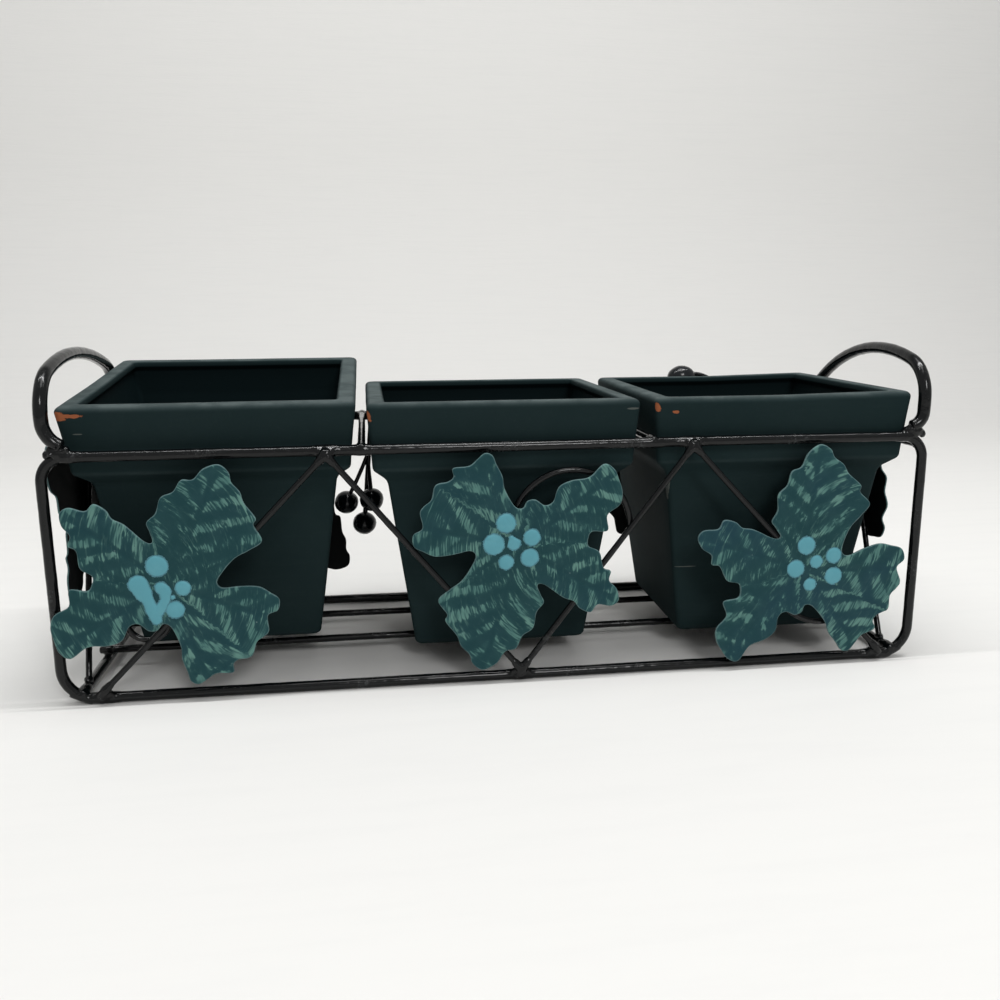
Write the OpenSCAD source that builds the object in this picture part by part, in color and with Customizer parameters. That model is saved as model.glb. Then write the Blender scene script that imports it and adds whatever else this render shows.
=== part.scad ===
/* [Rack frame] */
// Room along the rack that the three rims leave free between the post centres
pot_play = 23.2; // [20:0.2:40]
// Clearance between a rim and the front and back rails
rim_clearance = 0.2; // [0.2:0.1:4]
// Height of the top rail centre above the lower edge of the rims
rail_on_rim = 9.6; // [6:0.2:16]
// Diameter of the hoop rod
hoop_rod = 4; // [3:0.5:5]
// Bend radius of the top corners of a hoop
top_bend = 9; // [7:1:14]
// Bend radius of the bottom corners of a hoop
bottom_bend = 12; // [8:1:16]
// Diameter of the two rods across the base
base_rod = 4; // [3:0.5:5]
// Distance from a post centre in to the rod across the base
base_rod_inset = 7; // [5:0.5:9]
// Diameter of the long rods under the pots
slat_rod = 3; // [2:0.5:4]
// Distance of each long rod from the middle of the rack
slat_offset = 16.5; // [10:0.5:24]
// Diameter of the thin rods across the top
top_rod = 3; // [2:0.5:3.5]
// Distance from a post centre in to the thin rod across the top
top_rod_inset = 2; // [1:0.5:3]

/* [Handles] */
// Diameter of the handle rod
handle_rod = 5; // [4:0.5:6]
// Height of the left crown centre above the top rail centre
left_handle_rise = 33; // [28:0.2:50]
// Height of the right crown centre above the top rail centre
right_handle_rise = 32; // [28:0.2:50]
// Radius of the bend at the front shoulder of an arch
handle_shoulder = 16; // [12:1:18]
// Radius of the crown in front of its highest point
handle_crown = 116; // [96:10:126]
// Radius of the bend at the back shoulder of the left arch
left_back_shoulder = 28; // [24:1:32]
// Radius of the bend where a foot of the left handle turns along the rail
left_foot_bend = 6; // [4:0.5:6.5]
// Radius of the bend where a foot of the right handle turns along the rail
right_foot_bend = 5; // [4:0.5:6]
// Length of the straight end of a handle foot on the rail
handle_toe = 0.5; // [0.5:0.5:1.5]
// How far the left handle stands in from the post centres
left_handle_inset = 2; // [0.5:0.1:2]
// How far the right handle stands in from the post centres
right_handle_inset = 0.8; // [0:0.1:1]

/* [Wire trim] */
// Diameter of the zigzag, tendril and main berry stem wire
trim_wire = 2.4; // [1.6:0.2:3]
// Diameter of the branch wires of the hanging berries
branch_wire = 2; // [1:0.1:2.2]
// Height of the zigzag bends above the bottom rail or below the top rail
zigzag_margin = 3; // [2:0.5:5]
// Distance of the end zigzag feet from the middle of the rack
end_zigzag_foot = 46; // [36:1:48]
// Depth to which welded rods bite into each other
weld_bite = 0.3; // [0.2:0.1:0.5]
// Diameter of the weld lumps on the thin wire
small_bead = 5; // [4:0.5:6]
// Diameter of the weld lumps on the rods
large_bead = 5.6; // [5:0.1:7]

/* [Leaves] */
// Thickness of the leaf sheet
leaf_sheet = 0.9; // [0.6:0.1:1.5]
// Diameter of the berry balls
berry = 11.6; // [8:0.2:12]

/* [Pots] */
// Outer width of the rim at its top edge
rim_width = 105.6; // [88:0.2:126]
// Height of the rim band
rim_height = 25; // [18:1:30]
// Loss of rim width from its top edge to its lower edge
rim_taper = 3.4; // [1:0.2:6]
// How far the lower edge of the rim stands out from the body on each side
rim_overhang = 5.6; // [4:0.2:9]
// Draft of the body on each side, from under the rim down to the foot
body_draft = 10; // [4:0.5:14]
// Height of a pot
pot_height = 100.8; // [90:0.2:120]
// Height of the curved neck between the rim and the body
neck_height = 4; // [2:0.5:6]
// Thickness of the pot wall
pot_wall = 5; // [3:0.5:7]
// Thickness of the pot floor
pot_floor = 6; // [4:0.5:8]
// Radius of the upright corners of a pot
pot_corner = 2.5; // [2:0.5:6]
// Diameter of the drain hole
drain_hole = 10; // [6:1:16]
// Tilt of the left pot, whose rim is caught on the back rail
left_pot_tilt = 5.6; // [0:0.1:6]
// Turn of the right pot seen from above
right_pot_turn = -1.1; // [-1.1:0.1:1.1]

/* [Hidden] */
$fn = 48;

paint_black = [0.05, 0.05, 0.055];
paint_teal = [0.12, 0.29, 0.31];
paint_green = [0.1, 0.16, 0.15];

// The pots set the size of the rack: the rims stand side by side between the rails
rack_length = 3 * rim_width + pot_play;
rack_depth = rim_width + hoop_rod + 2 * rim_clearance;
post_x = rack_length / 2;
hoop_y = rack_depth / 2;
bottom_z = hoop_rod / 2;
base_rod_x = post_x - base_rod_inset;
base_rod_z = bottom_z + base_rod / 2;
slat_z = base_rod_z + (base_rod + slat_rod) / 2 - weld_bite;
slat_top = slat_z + slat_rod / 2;
slat_overhang = slat_rod;
pot_gap = 0.3;
pot_stand_z = slat_top + pot_gap;
top_z = pot_stand_z + pot_height - rim_height + rail_on_rim;
hoop_height = top_z - bottom_z;
top_rod_x = post_x - top_rod_inset;
top_rod_z = top_z - top_bend + sqrt(pow(top_bend, 2) - pow(top_bend - top_rod_inset, 2));

// Places of the handles, whose back ends land on the bent corner of the back hoop
handle_foot_z = top_z + (hoop_rod + handle_rod) / 2 - weld_bite;
handle_land_z = top_rod_z;
// Direction from the middle of a crown's circle to the end of the crown, of unit length, as shares
crown_end_shares = [0.28, 0.96];
// The highest point of an arch is nearer to the front than to the back
crown_y = -hoop_y + handle_shoulder + (handle_crown - handle_shoulder) * crown_end_shares[0];
// Joined bends meet exactly where their radii are whole steps
bend_step = handle_rod / 10;
function whole_steps(r) = round(r / bend_step) * bend_step;

// The front wire lies on the front face of the front hoop, and the leaves lie on the wire
zigzag_y = hoop_y + (hoop_rod + trim_wire) / 2 - weld_bite;
tendril_y = zigzag_y - trim_wire + weld_bite;
front_leaf_y = zigzag_y + trim_wire / 2 - weld_bite;
back_leaf_y = hoop_y + hoop_rod / 2 - weld_bite;
rack_reach_y = front_leaf_y + leaf_sheet;
// Bends of the front wire as shares of half the rack length, low and high in turn
zigzag_shares = [-0.912, -0.406, 0.026, 0.426, 0.915];

// The end wire stands on the base rod and leans out to the thin rod at the top
end_foot_z = base_rod_z + base_rod / 2;
end_apex_z = top_rod_z - top_rod / 2;
end_lean = atan2(top_rod_x - base_rod_x, end_apex_z - end_foot_z);
end_rise = norm([top_rod_x - base_rod_x, end_apex_z - end_foot_z]);

// Curls of the front tendrils: middle as shares of half the rack length and of the hoop height,
// radius as a share of the leaf reach, first and last angle
left_tendril_shares = [-0.806, 0.33, 0.162, 160, 400];
middle_tendril_shares = [0.143, 0.636, 0.482, 0, 206];
right_tendril_shares = [0.771, 0.411, 0.448, 150, 306];

// Longest lobe of a leaf as a share of the rack's depth or of its height, whichever is less
leaf_depth_share = 0.45;
leaf_height_share = 0.536;
leaf_reach = min(leaf_depth_share * rack_depth, leaf_height_share * hoop_height);
// Middle of each leaf and its turn: along the rack as a share of half its length. A front leaf's
// height is a share of the hoop height, and a back leaf hangs a share of its reach below the top rail.
left_leaf_place_shares = [-0.742, 0.504];
left_leaf_turn = -20;
middle_leaf_place_shares = [0.013, 0.556];
middle_leaf_turn = 168;
right_leaf_place_shares = [0.707, 0.457];
right_leaf_turn = 0;
back_left_leaf_place_shares = [-0.626, 0.989];
back_left_leaf_turn = -127;
back_right_leaf_place_shares = [0.644, 0.765];
back_right_leaf_turn = -25;
// Middle of each end leaf: share of half the rack depth, share of its reach below the top, and its turn
left_end_leaf_place_shares = [-0.127, 0.484];
left_end_leaf_turn = 195;
right_end_leaf_place_shares = [0.136, 0.695];
right_end_leaf_turn = 185;
// Least height of an end leaf's middle above the base, as a share of its reach, so that its tip stays clear
end_leaf_low_share = 0.995;

// Berries: places from the top of their stem as shares of a berry, to the left, down and to the front
berry_y = rack_reach_y - berry / 2;
trunk_top_share = -0.303;
trunk_berry_shares = [0.4, 4.59, 0];
left_berry_shares = [1.13, 3.66, 0];
right_berry_shares = [0.07, 3.46, 0.57];
left_fork_share = 0.3;
right_fork_share = 0.42;
upright_curl_share = 0.6606;
upright_curl = 14;
upright_curl_rise = 4;
upright_curl_foot = upright_curl_rise - hoop_rod / 2 + weld_bite;
upright_curl_end = 95;
upright_berry_angle = 117.7;
upright_lean = 19.5;

// Outline of a leaf as shares of its reach, clockwise from the tip of the top lobe
leaf_shares = [
    [0.07, 0.99], [0.16, 0.95], [0.20, 0.88], [0.28, 0.82], [0.33, 0.74], [0.44, 0.64],
    [0.44, 0.58], [0.53, 0.48], [0.46, 0.38], [0.38, 0.29], [0.33, 0.17], [0.32, 0.08],
    [0.38, 0.05], [0.50, 0.10], [0.64, 0.14], [0.75, 0.12], [0.84, 0.09], [0.87, 0.00],
    [0.81, -0.07], [0.85, -0.19], [0.82, -0.25], [0.77, -0.31], [0.76, -0.43], [0.67, -0.48],
    [0.64, -0.53], [0.66, -0.60], [0.55, -0.65], [0.50, -0.71], [0.44, -0.78], [0.37, -0.77],
    [0.32, -0.70], [0.25, -0.61], [0.21, -0.51], [0.10, -0.38], [0.03, -0.36], [0.00, -0.42],
    [-0.06, -0.44], [-0.14, -0.41], [-0.20, -0.45], [-0.22, -0.57], [-0.31, -0.64],
    [-0.44, -0.69], [-0.53, -0.81], [-0.62, -0.79], [-0.68, -0.71], [-0.73, -0.62],
    [-0.73, -0.52], [-0.65, -0.42], [-0.68, -0.30], [-0.56, -0.27], [-0.54, -0.21],
    [-0.56, -0.15], [-0.66, -0.12], [-0.73, 0.00], [-0.80, 0.02], [-0.81, 0.10],
    [-0.89, 0.16], [-0.93, 0.25], [-0.88, 0.31], [-0.76, 0.32], [-0.71, 0.39], [-0.61, 0.37],
    [-0.55, 0.32], [-0.45, 0.30], [-0.28, 0.22], [-0.22, 0.23], [-0.26, 0.30], [-0.30, 0.36],
    [-0.26, 0.45], [-0.26, 0.58], [-0.19, 0.66], [-0.16, 0.77], [-0.08, 0.81], [-0.03, 0.92]
];
leaf_curve_steps = 3;

// Places of the pots
rim_low_width = rim_width - rim_taper;
body_width = rim_low_width - 2 * rim_overhang;
foot_width = body_width - 2 * body_draft;
divider_z = top_z + top_rod / 3;
// Middle of each pot as a share of half the rack length, and of each divider
left_pot_share = -0.653;
middle_pot_share = -0.004;
right_pot_share = 0.662;
left_divider_share = -0.328;
right_divider_share = 0.335;
// Fit of a pot foot around the drain hole and the soft edges of the clay
lip_round = 1.6;
rim_foot_round = 2.2;
foot_round = 2.5;
pot_corner_steps = 5;
overrun = 1;
// Lower back edge of the left pot's rim, from the middle and the top of the back rail
catch_shift = 0.8;
catch_drop = 0.7;

// Straight rod between two points
module rod(from, to, d) {
    way = to - from;
    translate(from)
        rotate([0, acos(way.z / norm(way)), atan2(way.y, way.x)])
            cylinder(h = norm(way), d = d);
}

// Bent rod in the XY plane around the origin, from one angle to another
module bend(r, from, to, d) {
    rotate([0, 0, from])
        rotate_extrude(angle = to - from)
            translate([r, 0]) circle(d = d);
}

// Stands a flat shape up in the XZ plane, facing the front
module upright() {
    rotate([90, 0, 0]) children();
}

// Closed upright rectangle of rod with rounded corners
module hoop() {
    low = bottom_z + bottom_bend;
    high = top_z - top_bend;
    upright() {
        rod([-post_x + bottom_bend, bottom_z, 0], [post_x - bottom_bend, bottom_z, 0], hoop_rod);
        rod([-post_x + top_bend, top_z, 0], [post_x - top_bend, top_z, 0], hoop_rod);
        for (side = [-1, 1]) {
            rod([side * post_x, low, 0], [side * post_x, high, 0], hoop_rod);
            translate([side * (post_x - bottom_bend), low, 0])
                bend(bottom_bend, side > 0 ? 270 : 180, side > 0 ? 360 : 270, hoop_rod);
            translate([side * (post_x - top_bend), high, 0])
                bend(top_bend, side > 0 ? 0 : 90, side > 0 ? 90 : 180, hoop_rod);
        }
    }
}

module front_hoop() {
    color(paint_black) translate([0, -hoop_y, 0]) hoop();
}

module back_hoop() {
    color(paint_black) translate([0, hoop_y, 0]) hoop();
}

// Ring of rod around the origin, cut to the part between two directions
module cut_bend(r, from, to, d) {
    reach = 2 * (r + d);
    intersection() {
        rotate_extrude() translate([r, 0]) circle(d = d);
        linear_extrude(height = 2 * d, center = true) polygon([[0, 0], reach * from, reach * to]);
    }
}

// Front of an arch: foot turned along the rail, straight leg, shoulder and crown up to its highest point
module handle_front(rise, foot_bend) {
    ankle_z = handle_foot_z + foot_bend;
    toe = foot_bend + handle_toe;
    crown_z = top_z + rise - handle_crown;
    shoulder_z = crown_z + (handle_crown - handle_shoulder) * crown_end_shares[1];
    end = [-crown_end_shares[0], crown_end_shares[1]];
    rotate([90, 0, 90]) {
        translate([crown_y, crown_z, 0]) cut_bend(handle_crown, [0, 1], end, handle_rod);
        translate([-hoop_y + handle_shoulder, shoulder_z, 0])
            cut_bend(handle_shoulder, end, [-1, 0], handle_rod);
    }
    rod([0, -hoop_y, ankle_z], [0, -hoop_y, shoulder_z], handle_rod);
    translate([-foot_bend, -hoop_y, ankle_z]) upright() bend(foot_bend, 270, 360, handle_rod);
    rod([-foot_bend, -hoop_y, handle_foot_z], [-toe, -hoop_y, handle_foot_z], handle_rod);
}

// Left arch: behind its highest point it runs on in a shallow crown and comes down through a wide shoulder
module left_handle() {
    crown = left_back_shoulder + whole_steps((hoop_y - left_back_shoulder - crown_y) / crown_end_shares[0]);
    crown_z = top_z + left_handle_rise - crown;
    shoulder_y = crown_y + (crown - left_back_shoulder) * crown_end_shares[0];
    shoulder_z = crown_z + (crown - left_back_shoulder) * crown_end_shares[1];
    way = [left_back_shoulder, handle_land_z - shoulder_z];
    color(paint_black) mirror([1, 0, 0]) translate([post_x - left_handle_inset, 0, 0]) {
        handle_front(left_handle_rise, left_foot_bend);
        rotate([90, 0, 90]) {
            translate([crown_y, crown_z, 0]) cut_bend(crown, [0, 1], crown_end_shares, handle_rod);
            translate([shoulder_y, shoulder_z, 0])
                cut_bend(left_back_shoulder, crown_end_shares, way / norm(way), handle_rod);
        }
    }
}

// Right arch: behind its highest point it comes down to the back hoop in one round sweep
module right_handle() {
    run = hoop_y - crown_y;
    fall = top_z + right_handle_rise - handle_land_z;
    sweep = whole_steps((pow(run, 2) + pow(fall, 2)) / (2 * fall));
    way = [run, sweep - fall];
    color(paint_black) translate([post_x - right_handle_inset, 0, 0]) {
        handle_front(right_handle_rise, right_foot_bend);
        rotate([90, 0, 90])
            translate([crown_y, top_z + right_handle_rise - sweep, 0])
                cut_bend(sweep, [0, 1], way / norm(way), handle_rod);
    }
}

// Rod from the front hoop to the back hoop
module crossbar(x, z, d) {
    color(paint_black) rod([x, -hoop_y, z], [x, hoop_y, z], d);
}

module left_base_crossbar() {
    crossbar(-base_rod_x, base_rod_z, base_rod);
}

module right_base_crossbar() {
    crossbar(base_rod_x, base_rod_z, base_rod);
}

module left_top_crossbar() {
    crossbar(-top_rod_x, top_rod_z, top_rod);
}

module right_top_crossbar() {
    crossbar(top_rod_x, top_rod_z, top_rod);
}

module left_divider() {
    crossbar(left_divider_share * post_x, divider_z, top_rod);
}

module right_divider() {
    crossbar(right_divider_share * post_x, divider_z, top_rod);
}

// Long rod on top of the base crossbars
module slat(y) {
    reach = base_rod_x + slat_overhang;
    color(paint_black) rod([-reach, y, slat_z], [reach, y, slat_z], slat_rod);
}

module front_slat() {
    slat(-slat_offset);
}

module back_slat() {
    slat(slat_offset);
}

// Height of a bend of the front wire: even ones low, odd ones high
function zigzag_z(i) = i % 2 == 0 ? bottom_z + zigzag_margin : top_z - zigzag_margin / 3;
function zigzag_point(i) = [zigzag_shares[i] * post_x, -zigzag_y, zigzag_z(i)];

module front_zigzag() {
    color(paint_black)
        for (i = [0:len(zigzag_shares) - 2]) rod(zigzag_point(i), zigzag_point(i + 1), trim_wire);
}

// Lays a flat panel drawn in the XY plane against an end opening, its origin at the foot height.
// On the left end the drawing is seen from inside the rack, on the right end from outside.
module on_end(side) {
    translate([side * base_rod_x, 0, end_foot_z])
        rotate([0, side * end_lean, 0])
            rotate([90, 0, 90]) children();
}

module end_zigzag(side) {
    color(paint_black) on_end(side)
        for (y = [-end_zigzag_foot, end_zigzag_foot]) rod([y, 0, 0], [0, end_rise, 0], trim_wire);
}

module left_end_zigzag() {
    end_zigzag(-1);
}

module right_end_zigzag() {
    end_zigzag(1);
}

// Curl of wire welded to the back of the front wire
module tendril(shares) {
    color(paint_black)
        translate([shares[0] * post_x, -tendril_y, bottom_z + shares[1] * hoop_height])
            upright() bend(shares[2] * leaf_reach, shares[3], shares[4], trim_wire);
}

module front_left_tendril() {
    tendril(left_tendril_shares);
}

module front_middle_tendril() {
    tendril(middle_tendril_shares);
}

module front_right_tendril() {
    tendril(right_tendril_shares);
}

// Point at share t of the smooth curve between b and c, with a and d as neighbours
function curve_point(a, b, c, d, t) =
    0.5 * (2 * b + (c - a) * t + (2 * a - 5 * b + 4 * c - d) * t * t + (3 * b - a - 3 * c + d) * t * t * t);

// Scalloped outline of one leaf, smoothed between its points
function leaf_outline() = [
    for (i = [0:len(leaf_shares) - 1]) for (k = [0:leaf_curve_steps - 1])
        let (n = len(leaf_shares))
        leaf_reach * curve_point(
            leaf_shares[(i + n - 1) % n], leaf_shares[i], leaf_shares[(i + 1) % n],
            leaf_shares[(i + 2) % n], k / leaf_curve_steps)
];

module leaf() {
    linear_extrude(height = leaf_sheet) polygon(leaf_outline());
}

// Leaf on the front wire, painted face to the front
module front_leaf(place, turn) {
    color(paint_teal)
        translate([place[0] * post_x, -front_leaf_y, bottom_z + place[1] * hoop_height])
            upright() rotate([0, 0, turn]) leaf();
}

module front_left_leaf() {
    front_leaf(left_leaf_place_shares, left_leaf_turn);
}

module front_middle_leaf() {
    front_leaf(middle_leaf_place_shares, middle_leaf_turn);
}

module front_right_leaf() {
    front_leaf(right_leaf_place_shares, right_leaf_turn);
}

// Leaf on the outer face of the back hoop, painted face to the back
module back_leaf(place, turn) {
    color(paint_teal)
        translate([place[0] * post_x, back_leaf_y + leaf_sheet, top_z - place[1] * leaf_reach])
            upright() rotate([0, 0, turn]) mirror([1, 0, 0]) leaf();
}

module back_left_leaf() {
    back_leaf(back_left_leaf_place_shares, back_left_leaf_turn);
}

module back_right_leaf() {
    back_leaf(back_right_leaf_place_shares, back_right_leaf_turn);
}

// Leaf on the outside of an end wire and the thin rod at the top
module end_leaf(side, place, turn) {
    lift = top_rod / 2 - 1.5 * weld_bite;
    height = max(end_rise - place[1] * leaf_reach, end_leaf_low_share * leaf_reach);
    color(paint_teal) on_end(side)
        translate([place[0] * hoop_y, height, side > 0 ? lift : -lift - leaf_sheet])
            rotate([0, 0, turn]) mirror([side < 0 ? 1 : 0, 0, 0]) leaf();
}

module left_end_leaf() {
    end_leaf(-1, left_end_leaf_place_shares, left_end_leaf_turn);
}

module right_end_leaf() {
    end_leaf(1, right_end_leaf_place_shares, right_end_leaf_turn);
}

// Middle of a hanging berry
function berry_point(shares) =
    [trunk_top_share * post_x - shares[0] * berry, berry_y - shares[2] * berry, top_z - shares[1] * berry];

// Wire from a fork to the near side of a berry
module berry_wire(fork, centre, d) {
    back = (fork - centre) / norm(fork - centre);
    rod(fork, centre + back * (berry / 2 - weld_bite), d);
}

module hanging_berry_stems() {
    top = [trunk_top_share * post_x, berry_y, top_z - hoop_rod / 2 + weld_bite];
    low = berry_point(trunk_berry_shares);
    color(paint_black) {
        berry_wire(top, low, trim_wire);
        berry_wire(top + (low - top) * left_fork_share, berry_point(left_berry_shares), branch_wire);
        berry_wire(top + (low - top) * right_fork_share, berry_point(right_berry_shares), branch_wire);
    }
}

module hanging_berries() {
    color(paint_black)
        for (shares = [trunk_berry_shares, left_berry_shares, right_berry_shares])
            translate(berry_point(shares)) sphere(d = berry);
}

// Places what is drawn in the XY plane around the middle of the curl, leaning to the back
module on_curl() {
    translate([upright_curl_share * post_x, hoop_y, top_z + upright_curl_rise])
        rotate([90 - upright_lean, 0, 0]) children();
}

// Curl of wire that rises from the back rail and ends at the ball
module upright_berry_stem() {
    color(paint_black) on_curl() {
        bend(upright_curl, 0, upright_curl_end, trim_wire);
        rod([upright_curl, -upright_curl_foot, 0], [upright_curl, 0, 0], trim_wire);
    }
}

module upright_berry() {
    color(paint_black) on_curl()
        rotate([0, 0, upright_berry_angle]) translate([upright_curl, 0, 0]) sphere(d = berry);
}

// Lumps of weld where the front wire touches the rails
module front_weld_beads() {
    color(paint_black)
        for (i = [0:len(zigzag_shares) - 1]) translate(zigzag_point(i)) sphere(d = small_bead);
}

// Lumps of weld where the handle feet sit on the front rail and their back ends on the back hoop
module handle_weld_beads() {
    left_x = -post_x + left_handle_inset;
    right_x = post_x - right_handle_inset;
    land_z = handle_land_z + hoop_rod / 2;
    color(paint_black) {
        for (x = [left_x + left_foot_bend, right_x - right_foot_bend])
            translate([x, -hoop_y, (top_z + handle_foot_z) / 2]) sphere(d = large_bead);
        for (x = [left_x, right_x]) translate([x, hoop_y, land_z]) sphere(d = large_bead);
    }
}

// Lumps of weld at both ends of the dividers
module divider_weld_beads() {
    color(paint_black)
        for (share = [left_divider_share, right_divider_share], y = [-hoop_y, hoop_y])
            translate([share * post_x, y, divider_z]) sphere(d = small_bead);
}

// Lumps of weld at both ends of the base crossbars
module crossbar_weld_beads() {
    color(paint_black)
        for (x = [-base_rod_x, base_rod_x], y = [-hoop_y, hoop_y])
            translate([x, y, base_rod_z]) sphere(d = small_bead);
}

// Points of a rounded square of half width h and corner radius r at height z
function ring(h, r, z) = [
    for (q = [0:3]) for (k = [0:pot_corner_steps])
        let (a = 90 * q + 90 * k / pot_corner_steps,
             cx = (q == 0 || q == 3 ? 1 : -1) * (h - r),
             cy = (q < 2 ? 1 : -1) * (h - r))
        [cx + r * cos(a), cy + r * sin(a), z]
];

// Half width, corner radius and height of each ring, from the foot up outside and down inside
function pot_profile() =
    let (foot = foot_width / 2, body = body_width / 2, rim = rim_width / 2, low = rim_low_width / 2,
         neck_z = pot_height - rim_height - neck_height, rim_z = pot_height - rim_height,
         inner = foot - pot_wall, r = pot_corner, ri = pot_corner * 0.6,
         soft = foot_round * 0.3, lip = lip_round, cut = lip_round * 0.3,
         low_lip = rim_foot_round, low_cut = rim_foot_round * 0.3)
    [
        [foot - foot_round, r, 0], [foot - soft, r, soft], [foot, r, foot_round],
        [body, r, neck_z], [body + neck_height * 0.1, r, neck_z + neck_height * 0.5],
        [body + neck_height * 0.5, r, rim_z - neck_height * 0.1], [low - low_lip, r, rim_z],
        [low - low_cut, r, rim_z + low_cut], [low, r, rim_z + low_lip],
        [rim, r, pot_height - lip], [rim - cut, r, pot_height - cut], [rim - lip, r, pot_height],
        [rim - pot_wall + lip / 2, ri, pot_height], [rim - pot_wall, ri, pot_height - lip / 2],
        [low - pot_wall, ri, rim_z], [body - pot_wall, ri, neck_z - neck_height],
        [inner + foot_round * 0.2, ri, pot_floor + foot_round], [inner - foot_round, ri, pot_floor]
    ];

// Square clay pot standing on the origin, open at the top, with a drain hole in its floor
module pot() {
    profile = pot_profile();
    rows = len(profile);
    across = 4 * (pot_corner_steps + 1);
    points = [for (p = profile) each ring(p[0], p[1], p[2])];
    sides = [
        for (i = [0:rows - 2]) for (k = [0:across - 1])
            [i * across + k, (i + 1) * across + k, (i + 1) * across + (k + 1) % across, i * across + (k + 1) % across]
    ];
    underside = [for (k = [0:across - 1]) k];
    floor_top = [for (k = [across - 1:-1:0]) (rows - 1) * across + k];
    difference() {
        polyhedron(points, concat([underside, floor_top], sides));
        translate([0, 0, -overrun]) cylinder(h = pot_floor + 2 * overrun, d = drain_hole);
    }
}

// The left pot leans forward: the back of its rim is caught on top of the back rail
module left_pot() {
    catch_y = hoop_y - catch_shift;
    catch_z = top_z + hoop_rod / 2 - catch_drop;
    color(paint_green)
        translate([left_pot_share * post_x, catch_y, catch_z])
            rotate([left_pot_tilt, 0, 0])
                translate([0, -rim_low_width / 2, rim_height - pot_height]) pot();
}

module middle_pot() {
    color(paint_green) translate([middle_pot_share * post_x, 0, pot_stand_z]) pot();
}

module right_pot() {
    color(paint_green)
        translate([right_pot_share * post_x, 0, pot_stand_z]) rotate([0, 0, right_pot_turn]) pot();
}

front_hoop();
back_hoop();
left_handle();
right_handle();
left_base_crossbar();
right_base_crossbar();
left_top_crossbar();
right_top_crossbar();
front_slat();
back_slat();
left_divider();
right_divider();
front_zigzag();
left_end_zigzag();
right_end_zigzag();
front_left_tendril();
front_middle_tendril();
front_right_tendril();
front_left_leaf();
front_middle_leaf();
front_right_leaf();
back_left_leaf();
back_right_leaf();
left_end_leaf();
right_end_leaf();
hanging_berry_stems();
hanging_berries();
upright_berry_stem();
upright_berry();
front_weld_beads();
handle_weld_beads();
divider_weld_beads();
crossbar_weld_beads();
left_pot();
middle_pot();
right_pot();
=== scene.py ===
"""Looks of the three-pot planter rack: painted wire, stamped leaves, berry balls and square clay pots.

Every length is in metres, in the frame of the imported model.
"""

import functools
import math
import random

import bpy
import bmesh
import numpy as np
from bpy.props import FloatProperty, FloatVectorProperty, IntProperty, PointerProperty
from bpy.types import Operator, Panel, PropertyGroup
from mathutils import Matrix, Vector, geometry, noise


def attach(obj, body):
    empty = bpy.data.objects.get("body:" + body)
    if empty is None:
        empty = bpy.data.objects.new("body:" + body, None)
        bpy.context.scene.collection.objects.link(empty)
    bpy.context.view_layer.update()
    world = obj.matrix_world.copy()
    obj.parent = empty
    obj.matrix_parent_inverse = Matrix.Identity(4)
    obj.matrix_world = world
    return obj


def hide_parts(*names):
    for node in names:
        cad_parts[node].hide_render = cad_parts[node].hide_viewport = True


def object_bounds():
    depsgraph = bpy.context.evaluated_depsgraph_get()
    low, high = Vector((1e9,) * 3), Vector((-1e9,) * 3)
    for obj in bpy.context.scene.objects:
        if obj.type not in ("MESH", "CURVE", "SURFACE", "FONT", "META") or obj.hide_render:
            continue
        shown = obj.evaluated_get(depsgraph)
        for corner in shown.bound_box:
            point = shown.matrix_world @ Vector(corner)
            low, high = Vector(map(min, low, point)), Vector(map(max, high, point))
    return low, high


bl_info = {
    "name": "Three-pot planter rack",
    "version": (1, 0, 0),
    "blender": (4, 5, 0),
    "location": "View3D > Sidebar > Planter",
    "description": "Builds the painted wire rack, its leaves and berries, and its three clay pots",
    "category": "Object",
}

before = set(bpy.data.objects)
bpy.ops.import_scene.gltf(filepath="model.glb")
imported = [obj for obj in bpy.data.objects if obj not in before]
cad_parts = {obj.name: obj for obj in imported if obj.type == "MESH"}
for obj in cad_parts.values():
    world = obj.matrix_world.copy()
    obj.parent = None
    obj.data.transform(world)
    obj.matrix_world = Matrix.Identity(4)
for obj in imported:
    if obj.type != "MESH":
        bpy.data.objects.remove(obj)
CAD_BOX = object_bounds()

MM = 0.001
X, Y, Z = Vector((1, 0, 0)), Vector((0, 1, 0)), Vector((0, 0, 1))
RACK = "rack"
LEFT_POT = "left_pot_body"
MIDDLE_POT = "middle_pot_body"
RIGHT_POT = "right_pot_body"
# From the middle of the rack to the centre of a post
HALF_LENGTH = CAD_BOX[1].x - 2 * MM
# Depth to which welded pieces are let into each other
WELD_BITE = 0.0003


# Properties


def length(name, description, default):
    """A property for a length in metres."""
    return FloatProperty(
        name=name,
        description=description,
        default=default,
        min=0,
        unit="LENGTH",
        subtype="DISTANCE",
        precision=5,
    )


def colour(name, description, default):
    """A property for a paint colour."""
    return FloatVectorProperty(
        name=name, description=description, default=default, size=3, min=0, max=1, subtype="COLOR"
    )


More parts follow.
